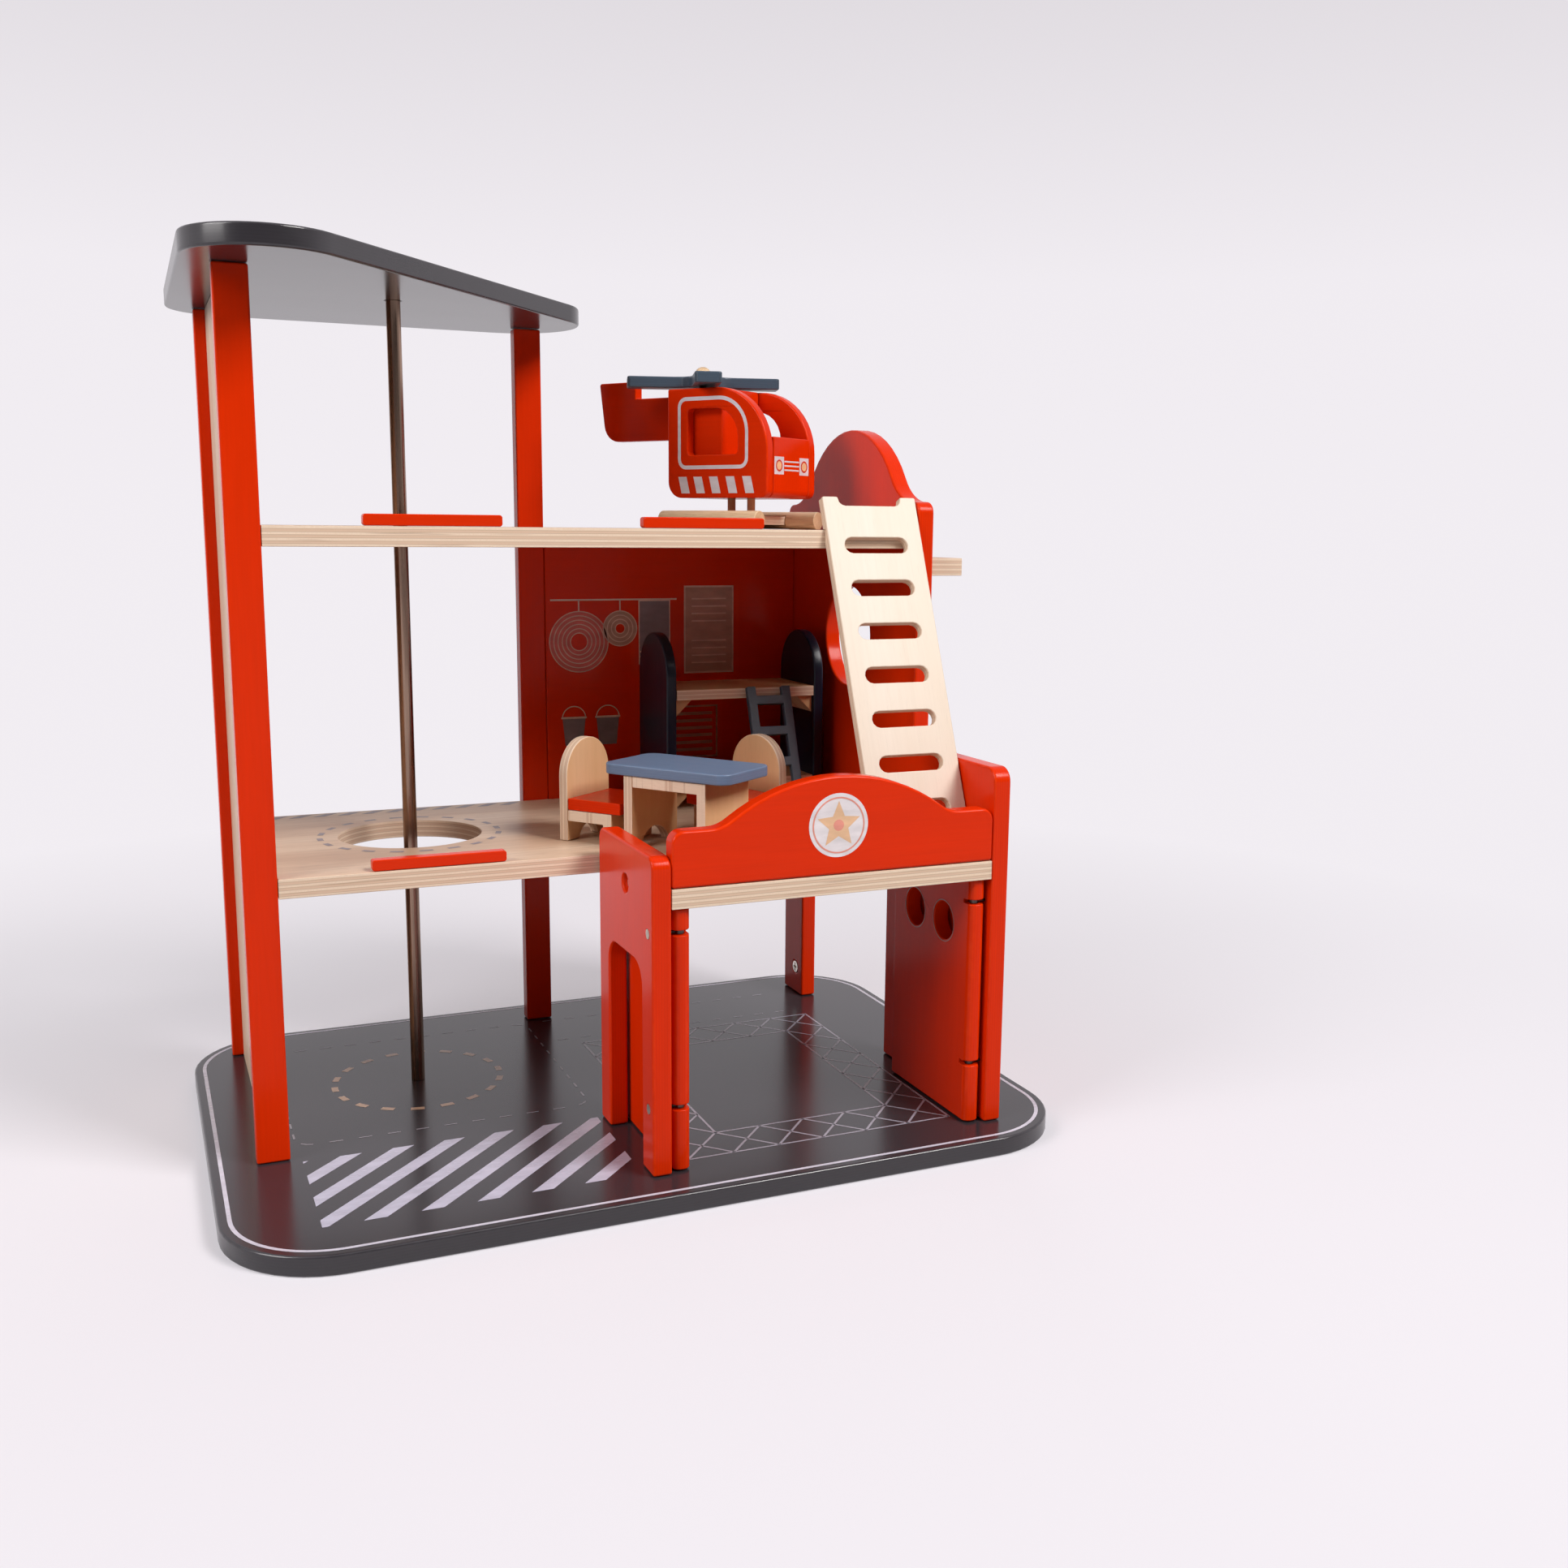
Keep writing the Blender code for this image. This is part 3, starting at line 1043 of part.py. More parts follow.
def make_helicopter(station):
    """Helicopter on the upper floor."""
    heli = empty("heli_place", (HELI_X, HELI_Y, UPPER_FLOOR_TOP + GAP), HELI_TURN, station)
    core = make_heli_body(heli)
    make_skids(heli, core)
    make_rotor(heli, core)


def build():
    """Make every sub-part of the station."""
    station = empty("station_corner", (-BASE_LENGTH / 2, -BASE_WIDTH / 2, PLY))
    make_base(station)
    make_tower(station)
    make_floors(station)
    make_roof(station)
    make_pole(station)
    make_right_wall(station)
    make_left_wall(station)
    make_trim(station)
    make_floor_screws(station)
    for side in ("left", "right"):
        make_eye_bolt(side + "_hinge_eye_lower", side, LOWER_SLOT_HEIGHT + SLOT_HEIGHT / 2, station)
        make_eye_bolt(side + "_hinge_eye_upper", side, UPPER_SLOT_HEIGHT + SLOT_HEIGHT / 2, station)
        make_door(side, station)
    make_ladder(station)
    make_bunk(station)
    make_table(station)
    make_chair("left", LEFT_CHAIR_X, LEFT_CHAIR_Y, LEFT_CHAIR_TURN, station)
    make_chair("right", RIGHT_CHAIR_X, RIGHT_CHAIR_Y, RIGHT_CHAIR_TURN, station)
    make_helicopter(station)
    bpy.context.view_layer.update()


build()
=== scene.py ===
"""Looks of the toy fire station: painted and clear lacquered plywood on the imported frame.

Points are in millimetres from the base plate's front left corner, with height zero at the plate's top.
Names that end in _M, and all values inside materials, are in metres.
"""
import json
import math

import bmesh
import bpy
from mathutils import Matrix, Vector


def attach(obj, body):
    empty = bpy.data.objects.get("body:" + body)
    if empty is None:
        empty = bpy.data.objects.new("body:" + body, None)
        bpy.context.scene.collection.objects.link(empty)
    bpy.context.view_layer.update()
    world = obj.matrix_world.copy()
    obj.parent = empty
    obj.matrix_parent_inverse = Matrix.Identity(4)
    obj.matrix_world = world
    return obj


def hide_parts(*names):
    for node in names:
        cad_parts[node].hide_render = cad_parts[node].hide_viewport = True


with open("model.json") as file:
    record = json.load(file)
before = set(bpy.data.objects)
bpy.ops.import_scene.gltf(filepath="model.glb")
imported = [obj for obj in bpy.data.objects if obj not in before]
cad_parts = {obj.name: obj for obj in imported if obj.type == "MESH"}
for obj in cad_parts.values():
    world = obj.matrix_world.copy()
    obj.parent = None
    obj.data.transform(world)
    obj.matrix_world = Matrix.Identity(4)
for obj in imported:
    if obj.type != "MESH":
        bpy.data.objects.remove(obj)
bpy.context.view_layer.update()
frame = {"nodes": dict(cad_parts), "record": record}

MM = 0.001
BASE_LENGTH = 550
BASE_DEPTH = 397.5
BOARD_THICKNESS = 12.5
CORNER = Vector((-BASE_LENGTH / 2, -BASE_DEPTH / 2, BOARD_THICKNESS))
X = Vector((1, 0, 0))
Y = Vector((0, 1, 0))
Z = Vector((0, 0, 1))
QUARTER = math.pi / 2

FIRST_FLOOR = 182.2
UPPER_FLOOR = 396.7
GLUE_GAP = 0.3
POLE = (148.6, 256)
HELI = (398.5, 252, UPPER_FLOOR + GLUE_GAP)
HELI_TURN = math.radians(-58)
HELI_BOTTOM = 22
HELI_HALF_WIDTH = 31.05
HELI_NOSE = 45
BLADE_TURN = math.radians(-16.5)
TABLE_TURN = math.radians(-54)
LEFT_CHAIR_TURN = math.radians(-52)
RIGHT_CHAIR_TURN = math.radians(-160)
LADDER_LEAN = math.radians(21.9)
BUNK_LADDER_LEAN = math.radians(19.5)
PARAPET_FRONT = 28.2
BACK_WALL_FRONT = 355.5

BODY_OF = {}
for body_name, members in frame["record"]["behaviour"]["bodies"].items():
    for member in members:
        BODY_OF[member] = body_name


def place(x, y, z):
    """A point measured from the corner, as a point of the frame in metres."""
    return (Vector((x, y, z)) + CORNER) * MM


def turned(vector, angle):
    """A direction turned about the vertical."""
    return Matrix.Rotation(angle, 3, "Z") @ vector


# Camera, world, lamps and floor

CAMERA_PLACE_M = (-0.3055, -1.0091, 0.4106)
CAMERA_YAW = math.radians(23.68)
CAMERA_PITCH = math.radians(-9.63)
CAMERA_ROLL = math.radians(0.54)
CAMERA_LENS = 34.69
CAMERA_SENSOR = 36


def make_camera():
    """The photograph's viewpoint, fitted through the base, posts, floors and walls."""
    level_share = math.cos(CAMERA_PITCH)
    ahead = Vector((math.sin(CAMERA_YAW) * level_share, math.cos(CAMERA_YAW) * level_share,
                    math.sin(CAMERA_PITCH)))
    level = Vector((math.cos(CAMERA_YAW), -math.sin(CAMERA_YAW), 0))
    upright = level.cross(ahead)
    right = level * math.cos(CAMERA_ROLL) + upright * math.sin(CAMERA_ROLL)
    up = upright * math.cos(CAMERA_ROLL) - level * math.sin(CAMERA_ROLL)
    data = bpy.data.cameras.new("camera")
    data.sensor_width = CAMERA_SENSOR
    data.lens = CAMERA_LENS
    camera = bpy.data.objects.new("camera", data)
    bpy.context.scene.collection.objects.link(camera)
    turn = Matrix((right, up, -ahead)).transposed().to_4x4()
    camera.matrix_world = Matrix.Translation(CAMERA_PLACE_M) @ turn
    bpy.context.scene.camera = camera


def add(tree, kind, inputs=None, output=0, **settings):
    """Add one node, link or set its inputs, and return one of its outputs."""
    node = tree.nodes.new("ShaderNode" + kind)
    for key, value in settings.items():
        setattr(node, key, value)
    for key, value in (inputs or {}).items():
        if isinstance(value, bpy.types.NodeSocket):
            tree.links.new(value, node.inputs[key])
        else:
            node.inputs[key].default_value = value
    return node.outputs[output] if node.outputs else node


def ramp(tree, factor, stops):
    """A colour ramp over (position, colour) stops."""
    output = add(tree, "ValToRGB", {"Fac": factor})
    elements = output.node.color_ramp.elements
    while len(elements) < len(stops):
        elements.new(1.0)
    for element, (position, color) in zip(elements, stops):
        element.position = position
        element.color = (*color, 1.0)
    return output


def mixed(tree, factor, first, second):
    """Mix two colours."""
    output = add(tree, "Mix", {0: factor}, 2, data_type="RGBA")
    for index, value in ((6, first), (7, second)):
        socket = output.node.inputs[index]
        if isinstance(value, bpy.types.NodeSocket):
            tree.links.new(value, socket)
        else:
            socket.default_value = (*value, 1.0)
    return output


def mapped(tree, value, low, high, to_low=0.0, to_high=1.0):
    """Map a value from one span to another, clamped."""
    return add(tree, "MapRange", {"Value": value, "From Min": low, "From Max": high,
                                  "To Min": to_low, "To Max": to_high})


def computed(tree, operation, first, second=0.0):
    """One math node."""
    return add(tree, "Math", {0: first, 1: second}, operation=operation)


def axis_of(tree, vector, axis):
    """One axis of a vector, by its number."""
    return add(tree, "SeparateXYZ", {0: vector}, axis)


def noise(tree, coordinates, scale, detail=2.0, distortion=0.0):
    """Noise with that many features a metre along each axis."""
    stretched = add(tree, "Mapping", {"Vector": coordinates, "Scale": scale})
    return add(tree, "TexNoise", {"Vector": stretched, "Scale": 1.0, "Detail": detail,
                                  "Distortion": distortion})


def seen_rays(tree):
    """One or more for rays from the camera, from reflections and through clear materials."""
    path = add(tree, "LightPath").node
    seen = computed(tree, "ADD", path.outputs["Is Camera Ray"], path.outputs["Is Glossy Ray"])
    return path, computed(tree, "ADD", seen, path.outputs["Is Transmission Ray"])


BACKDROP_LOW = (0.885, 0.85, 0.89)
BACKDROP_MID = (0.875, 0.84, 0.88)
BACKDROP_HIGH = (0.70, 0.665, 0.70)
WORLD_LIGHT = (1.0, 0.965, 0.975, 1.0)
WORLD_STRENGTH = 0.085
FRONT_DIMMING = 0.9


def make_world():
    """Even studio light, and a pale backdrop that only seen rays meet, dark in front for reflections."""
    world = bpy.data.worlds.new("studio")
    bpy.context.scene.world = world
    world.use_nodes = True
    tree = world.node_tree
    tree.nodes.clear()
    path, seen = seen_rays(tree)
    direction = add(tree, "SeparateXYZ", {0: add(tree, "TexCoord").node.outputs["Generated"]}).node
    color = ramp(tree, mapped(tree, direction.outputs[2], 0.0, 0.5),
                 [(0.0, BACKDROP_LOW), (0.3, BACKDROP_MID), (0.75, BACKDROP_HIGH)])
    front = mapped(tree, direction.outputs[1], -0.8, -0.2, FRONT_DIMMING, 0.0)
    dimming = computed(tree, "MULTIPLY", front, path.outputs["Is Glossy Ray"])
    backdrop = add(tree, "Background", {"Color": color, "Strength": computed(tree, "SUBTRACT", 1.0, dimming)})
    light = add(tree, "Background", {"Color": WORLD_LIGHT, "Strength": WORLD_STRENGTH})
    both = add(tree, "MixShader", {0: mapped(tree, seen, 0.0, 1.0), 1: light, 2: backdrop})
    add(tree, "OutputWorld", {"Surface": both})


LAMP_AIM_M = Vector((0, 0, 0.25))


def make_lamp(name, place_m, size, power, color):
    """A large square lamp aimed at the middle of the station, and its object."""
    data = bpy.data.lights.new(name, "AREA")
    data.size = size
    data.energy = power
    data.color = color
    lamp = bpy.data.objects.new(name, data)
    bpy.context.scene.collection.objects.link(lamp)
    lamp.location = place_m
    aim = LAMP_AIM_M - Vector(place_m)
    lamp.rotation_mode = "QUATERNION"
    lamp.rotation_quaternion = aim.to_track_quat("-Z", "Y")
    return lamp


FLOOR_SEEN = (0.77, 0.745, 0.80)
FLOOR_BOUNCE = (0.42, 0.41, 0.43)
FLOOR_RADIUS_M = 30
FLOOR_STEPS = 96
FLOOR_DROP_M = 0.0002
FADE_START_M = 0.35
FADE_END_M = 1.15
FADE_LEAST = 0.42


def make_floor():
    """Pale studio floor that keeps the shadow near the toy and runs into the backdrop further out."""
    mesh = bpy.data.meshes.new("studio_floor")
    ring = []
    for i in range(FLOOR_STEPS):
        angle = math.tau * i / FLOOR_STEPS
        ring.append((FLOOR_RADIUS_M * math.cos(angle), FLOOR_RADIUS_M * math.sin(angle), 0))
    mesh.from_pydata(ring, [], [list(range(FLOOR_STEPS))])
    floor = bpy.data.objects.new("studio_floor", mesh)
    bpy.context.scene.collection.objects.link(floor)
    floor.location.z = -FLOOR_DROP_M
    material, tree, shader = new_material("studio_floor", 0.9)
    shader.inputs["Specular IOR Level"].default_value = 0.1
    coordinates = add(tree, "TexCoord").node.outputs["Object"]
    distance = add(tree, "VectorMath", {0: coordinates}, "Value", operation="LENGTH")
    seen = mapped(tree, seen_rays(tree)[1], 0.0, 1.0)
    tree.links.new(mixed(tree, seen, FLOOR_BOUNCE, FLOOR_SEEN), shader.inputs["Base Color"])
    fade = mapped(tree, distance, FADE_START_M, FADE_END_M, FADE_LEAST, 1.0)
    glow = add(tree, "Emission", {"Color": (*BACKDROP_LOW, 1.0), "Strength": 1.0})
    both = add(tree, "MixShader", {0: computed(tree, "MULTIPLY", fade, seen), 1: shader.outputs["BSDF"],
                                   2: glow})
    tree.links.new(both, tree.nodes["Material Output"].inputs["Surface"])
    mesh.materials.append(material)


# Materials: coordinates are each board's own, with X along the grain and Z through its thickness

PAINT_LAYER = 1.8 * MM
LAYER_WANDER = 0.00045
LAYER_SHIFT = 0.00022
VENEER = ((0.57, 0.375, 0.25), (0.68, 0.49, 0.345), (0.755, 0.59, 0.445))
WARM_VENEER = ((0.60, 0.345, 0.17), (0.66, 0.395, 0.205), (0.71, 0.445, 0.25))
PALE_VENEER = ((0.66, 0.54, 0.42), (0.69, 0.58, 0.47), (0.71, 0.61, 0.51))
LAYER_PALE = (0.82, 0.655, 0.505)
LAYER_MID = (0.70, 0.505, 0.365)
LAYER_DARK = (0.42, 0.27, 0.18)
GLUE_LINE = (0.34, 0.21, 0.14)
BEECH_DARK = (0.64, 0.43, 0.25)
BEECH_PALE = (0.82, 0.61, 0.40)
BEECH_PORES = (0.36, 0.20, 0.10)
BEECH_END = (0.42, 0.25, 0.13)
HEAD_BRIGHT = ((0.72, 0.64, 0.52), (0.94, 0.87, 0.74))
# Hinge eyes and pins inside the door's slots: dark colour as painted shade
EYE_SLOT_SHADE = ((0.05, 0.042, 0.038), (0.12, 0.10, 0.09))
GARAGE_MIDDLE_M = 101.2 * MM
HEAD_START_M = 0.1195
HEAD_FULL_M = 0.121


def new_material(name, roughness):
    """A Principled material, its node tree and its shader."""
    material = bpy.data.materials.new(name)
    material.use_nodes = True
    tree = material.node_tree
    shader = tree.nodes["Principled BSDF"]
    shader.inputs["Roughness"].default_value = roughness
    return material, tree, shader


def board_masks(tree):
    """Coordinates of a board, the mask of its faces and the mask of its rounded rims."""
    source = add(tree, "TexCoord").node
    up = computed(tree, "ABSOLUTE", axis_of(tree, source.outputs["Normal"], 2))
    face = mapped(tree, up, 0.55, 0.9)
    rim = computed(tree, "MULTIPLY", mapped(tree, up, 0.1, 0.5), mapped(tree, up, 0.75, 0.98, 1.0, 0.0))
    return source.outputs["Object"], face, rim


def scaled(color, factor):
    """A colour made lighter or darker."""
    return tuple(min(1.0, value * factor) for value in color)


def bumped(tree, shader, height, strength, distance):
    """Let a height show as relief on the shader's surface."""
    relief = add(tree, "Bump", {"Height": height, "Strength": strength, "Distance": distance})
    tree.links.new(relief, shader.inputs["Normal"])


def painted(name, color, rim_wear_and_highlight, roughness, specular, relief):
    """Sprayed paint on plywood: faint grain and ripple on the faces, layers just telling at the edges, rims
    lighter as paint wear and painted highlight.
    """
    material, tree, shader = new_material(name, roughness)
    shader.inputs["Specular IOR Level"].default_value = specular
    coordinates, face, rim = board_masks(tree)
    broad = noise(tree, coordinates, (7, 45, 45), 3.0)
    grain = noise(tree, coordinates, (22, 620, 620), 2.0, 0.3)
    ripple = noise(tree, coordinates, (240, 330, 330), 1.0)
    depth = axis_of(tree, coordinates, 2)
    wave = computed(tree, "SINE", computed(tree, "MULTIPLY", depth, math.tau / PAINT_LAYER))
    edge = computed(tree, "SUBTRACT", 1.0, face)
    layers = computed(tree, "MULTIPLY", mapped(tree, wave, -0.9, 0.2, 1.0, 0.0), edge)
    base = ramp(tree, broad, [(0.32, scaled(color, 0.96)), (0.68, scaled(color, 1.03))])
    streaked = mixed(tree, mapped(tree, grain, 0.35, 0.75, 0.0, 0.22), base, scaled(color, 0.8))
    edged = mixed(tree, computed(tree, "MULTIPLY", layers, 0.22), streaked, scaled(color, 0.72))
    # Rims lightened in a noisy band: partly paint wear, partly a painted highlight on the rounded rims
    rubbed_and_highlit = mapped(tree, noise(tree, coordinates, (90, 160, 160), 3.0), 0.42, 0.72, 0.1, 0.55)
    worn_and_highlit = mixed(tree, computed(tree, "MULTIPLY", rim, rubbed_and_highlit), edged, rim_wear_and_highlight)
    tree.links.new(worn_and_highlit, shader.inputs["Base Color"])
    gloss = mapped(tree, broad, 0.3, 0.7, roughness - relief * 0.4, roughness + relief * 0.6)
    tree.links.new(gloss, shader.inputs["Roughness"])
    grain_height = computed(tree, "MULTIPLY", grain, 0.5)
    height = computed(tree, "ADD", grain_height, computed(tree, "MULTIPLY", ripple, 0.8))
    height = computed(tree, "SUBTRACT", height, computed(tree, "MULTIPLY", layers, 0.5))
    bumped(tree, shader, height, 0.35, relief * MM)
    return material


def layer_stops(count):
    """Ramp stops through a board: pale layers, tan cross layers and thin glue lines."""
    stops = []
    for i in range(count):
        color = LAYER_PALE if i % 2 == 0 else LAYER_MID
        stops.append(((i + 0.08) / count, color))
        stops.append(((i + 0.90) / count, scaled(color, 0.94)))
        if i + 1 < count:
            stops.append(((i + 0.99) / count, LAYER_DARK if i % 2 else GLUE_LINE))
    return stops


def plywood(name, thickness, count, veneer, streak_share):
    """Clear lacquered plywood: veneer figure on the faces, its layers and glue lines at the edges."""
    material, tree, shader = new_material(name, 0.42)
    shader.inputs["Specular IOR Level"].default_value = 0.28
    coordinates, face, _ = board_masks(tree)
    figure = noise(tree, coordinates, (2.2, 26, 26), 5.0, 0.8)
    streaks = noise(tree, coordinates, (9, 430, 430), 3.0)
    flecks = noise(tree, coordinates, (70, 900, 900), 1.0)
    dark, middle, pale = veneer
    top = ramp(tree, figure, [(0.30, dark), (0.5, middle), (0.68, pale)])
    top = mixed(tree, mapped(tree, streaks, 0.4, 0.75, 0.0, streak_share), top, scaled(dark, 0.86))
    top = mixed(tree, mapped(tree, flecks, 0.62, 0.76, 0.0, streak_share), top, scaled(dark, 0.62))
    depth = axis_of(tree, coordinates, 2)
    wander = computed(tree, "MULTIPLY", noise(tree, coordinates, (28, 28, 200), 2.0), LAYER_WANDER)
    half = thickness * MM / 2
    share = mapped(tree, computed(tree, "ADD", depth, wander), LAYER_SHIFT - half, LAYER_SHIFT + half)
    side = ramp(tree, share, layer_stops(count))
    patch = mapped(tree, noise(tree, coordinates, (16, 16, 500), 2.0), 0.60, 0.74, 0.0, 0.5)
    side = mixed(tree, patch, side, LAYER_DARK)
    pores = mapped(tree, noise(tree, coordinates, (1500, 1500, 260), 1.0), 0.4, 0.7, 0.0, 0.28)
    side = mixed(tree, pores, side, LAYER_MID)
    tree.links.new(mixed(tree, face, side, top), shader.inputs["Base Color"])
    tree.links.new(mapped(tree, face, 0.0, 1.0, 0.62, 0.38), shader.inputs["Roughness"])
    height = computed(tree, "ADD", streaks, computed(tree, "MULTIPLY", flecks, 0.6))
    bumped(tree, shader, height, 0.3, 0.00015)
    return material


def dowel_wood(name):
    """Turned beech: fine long pores along the grain and darker end grain."""
    material, tree, shader = new_material(name, 0.5)
    source = add(tree, "TexCoord").node
    coordinates = source.outputs["Object"]
    end = mapped(tree, computed(tree, "ABSOLUTE", axis_of(tree, source.outputs["Normal"], 0)), 0.6, 0.9)
    figure = noise(tree, coordinates, (14, 190, 190), 4.0)
    pores = noise(tree, coordinates, (90, 1300, 1300), 2.0)
    wood = ramp(tree, figure, [(0.3, BEECH_DARK), (0.7, BEECH_PALE)])
    wood = mixed(tree, mapped(tree, pores, 0.5, 0.72, 0.0, 0.45), wood, BEECH_PORES)
    wood = mixed(tree, computed(tree, "MULTIPLY", end, 0.45), wood, BEECH_END)
    tree.links.new(wood, shader.inputs["Base Color"])
    bumped(tree, shader, pores, 0.25, 0.00012)
    return material


def metal(name, color, dark, roughness, scale):
    """Metal with drawn streaks and slightly uneven tarnish."""
    material, tree, shader = new_material(name, roughness)
    shader.inputs["Metallic"].default_value = 1.0
    coordinates = add(tree, "TexCoord").node.outputs["Object"]
    tarnish = noise(tree, coordinates, scale, 4.0)
    tree.links.new(ramp(tree, tarnish, [(0.3, dark), (0.7, color)]), shader.inputs["Base Color"])
    gloss = mapped(tree, tarnish, 0.3, 0.7, roughness + 0.1, roughness - 0.04)
    tree.links.new(gloss, shader.inputs["Roughness"])
    return material


def hinge_steel(name):
    """Hinge metal: painted dark as shade inside the door's slots, bright zinc where its heads show outside
    the walls.
    """
    material, tree, shader = new_material(name, 0.36)
    shader.inputs["Metallic"].default_value = 1.0
    coordinates = add(tree, "TexCoord").node.outputs["Object"]
    across = axis_of(tree, coordinates, 0)
    outward = computed(tree, "ABSOLUTE", computed(tree, "SUBTRACT", across, GARAGE_MIDDLE_M))
    head = mapped(tree, outward, HEAD_START_M, HEAD_FULL_M)
    tarnish = noise(tree, coordinates, (260, 260, 260), 4.0)
    bright = ramp(tree, tarnish, [(0.3, HEAD_BRIGHT[0]), (0.7, HEAD_BRIGHT[1])])
    # Painted shade: dark where the metal sits inside the slots
    slot_shade = ramp(tree, tarnish, [(0.3, EYE_SLOT_SHADE[0]), (0.7, EYE_SLOT_SHADE[1])])
    tree.links.new(mixed(tree, head, slot_shade, bright), shader.inputs["Base Color"])
    return material


def ink(name, color, roughness):
    """Screen printed ink, thin enough that the ground mottles it."""
    material, tree, shader = new_material(name, roughness)
    coordinates = add(tree, "TexCoord").node.outputs["Object"]
    mottle = noise(tree, coordinates, (60, 160, 160), 4.0)
    shade = ramp(tree, mottle, [(0.3, scaled(color, 0.82)), (0.7, scaled(color, 1.05))])
    tree.links.new(shade, shader.inputs["Base Color"])
    gloss = mapped(tree, mottle, 0.3, 0.7, roughness + 0.06, roughness - 0.04)
    tree.links.new(gloss, shader.inputs["Roughness"])
    return material


make_camera()
make_world()
make_lamp("right_lamp", (1.45, -1.9, 2.4), 1.2, 102, (1.0, 0.97, 0.95))
make_lamp("left_lamp", (-2.42, -0.7, 1.75), 1.5, 61, (1.0, 0.975, 0.965))
rear_lamp = make_lamp("rear_lamp", (0.5, 2.5, 1.5), 1.5, 13, (1.0, 0.98, 0.98))
rear_lamp.visible_glossy = False
make_floor()

# Paint: colour, rim colour (partly paint wear, partly painted highlight), roughness, specular, relief.
# Plywood: thickness, layers, veneer, streaks
LOOKS = {
    "red": painted("red_look", (0.70, 0.027, 0.0004), (0.80, 0.050, 0.003), 0.2, 0.12, 0.07),
    "graphite": painted("graphite_look", (0.032, 0.029, 0.034), (0.06, 0.056, 0.066), 0.21, 0.55, 0.008),
    "slate": painted("slate_look", (0.13, 0.19, 0.30), (0.19, 0.26, 0.38), 0.42, 0.4, 0.1),
    "steel_blue": painted("steel_blue_look", (0.050, 0.075, 0.108), (0.10, 0.14, 0.19), 0.36, 0.4, 0.1),
    "navy": painted("navy_look", (0.006, 0.011, 0.025), (0.022, 0.040, 0.078), 0.28, 0.3, 0.012),
    "ply": plywood("plywood_look", BOARD_THICKNESS, 7, VENEER, 0.45),
    "thin_ply": plywood("thin_plywood_look", 7.5, 5, WARM_VENEER, 0.14),
    "ladder": plywood("ladder_plywood_look", 6.5, 5, PALE_VENEER, 0.15),
    "dowel": dowel_wood("dowel_look"),
    "bronze": metal("bronze_look", (0.40, 0.27, 0.20), (0.18, 0.115, 0.085), 0.2, (300, 300, 9)),
    "zinc": metal("zinc_look", (0.90, 0.86, 0.78), (0.66, 0.62, 0.56), 0.3, (260, 260, 260)),
    "hinge": hinge_steel("hinge_steel_look"),
}


# Boards: each carried over from the frame into its own axes, with rounded rims

SHARP_EDGE = math.radians(28)
FLAT_ANGLE = math.radians(0.8)
CREASE_ANGLE = math.radians(40)
LEVEL_LIMIT_M = 0.02 * MM
WELD_DISTANCE_M = 0.12 * MM
SMALL_RIM_M = 30 * MM
RIM_SEGMENTS = 3


def lean_axes(lean):
    """Outward normal and upward grain of a leaning board."""
    along = Vector((0, math.sin(lean), math.cos(lean)))
    return X.cross(along), along


def rounded_edges(work):
    """Sharp edges of a board, less the rims of small holes and the edges that meet them."""
    sharp = [e for e in work.edges if len(e.link_faces) == 2 and e.calc_face_angle(0) > SHARP_EDGE]
    level = [e for e in sharp if abs(e.verts[0].co.z - e.verts[1].co.z) < LEVEL_LIMIT_M]
    at = {}
    for edge in level:
        for vertex in edge.verts:
            at.setdefault(vertex, []).append(edge)
    seen = set()
    small = set()
    for edge in level:
        if edge in seen:
            continue
        seen.add(edge)
        rim = [edge]
        for reached in rim:
            for vertex in reached.verts:
                for other in at[vertex]:
                    if other not in seen:
                        seen.add(other)
                        rim.append(other)
        if sum(e.calc_length() for e in rim) < SMALL_RIM_M:
            small.update(v for e in rim for v in e.verts)
    return [e for e in sharp if e.verts[0] not in small and e.verts[1] not in small]


def figure_shift(node):
    """Where a board lies in the grain's pattern, so that boards of one size differ."""
    number = len(node) * 37 + ord(node[0]) * 11 + ord(node[-1]) * 5
    return Vector((number % 41 * 0.013, 0.21, 0))


def board_piece(node, look, normal, grain, rim):
    """Copy a CAD board into a frame whose Z is its normal, round its rims and let it replace the board."""
    turn = Matrix((grain, normal.cross(grain), normal)).transposed()
    inverse = turn.inverted()
    work = bmesh.new()
    work.from_mesh(frame["nodes"][node].data)
    bmesh.ops.remove_doubles(work, verts=work.verts, dist=WELD_DISTANCE_M)
    points = [inverse @ v.co for v in work.verts]
    middle = [(min(p[i] for p in points) + max(p[i] for p in points)) / 2 for i in range(3)]
    origin = Vector(middle) - figure_shift(node)
    for vertex, point in zip(work.verts, points):
        vertex.co = point - origin
    work.normal_update()
    bmesh.ops.dissolve_limit(work, angle_limit=FLAT_ANGLE, verts=work.verts, edges=work.edges)
    bmesh.ops.bevel(work, geom=rounded_edges(work), offset=rim * MM, offset_type="OFFSET",
                    segments=RIM_SEGMENTS, profile=0.5, affect="EDGES", clamp_overlap=False)
    mesh = bpy.data.meshes.new(node + "_board")
    work.to_mesh(mesh)
    work.free()
    mesh.materials.append(LOOKS[look])
    mesh.shade_smooth()
    mesh.set_sharp_from_angle(angle=CREASE_ANGLE)
    piece = bpy.data.objects.new(node + "_board", mesh)
    bpy.context.scene.collection.objects.link(piece)
    piece.matrix_world = Matrix.Translation(turn @ origin) @ turn.to_4x4()
    weighted = piece.modifiers.new("weighted", "WEIGHTED_NORMAL")
    weighted.keep_sharp = True
    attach(piece, BODY_OF[node])
    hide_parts(node)


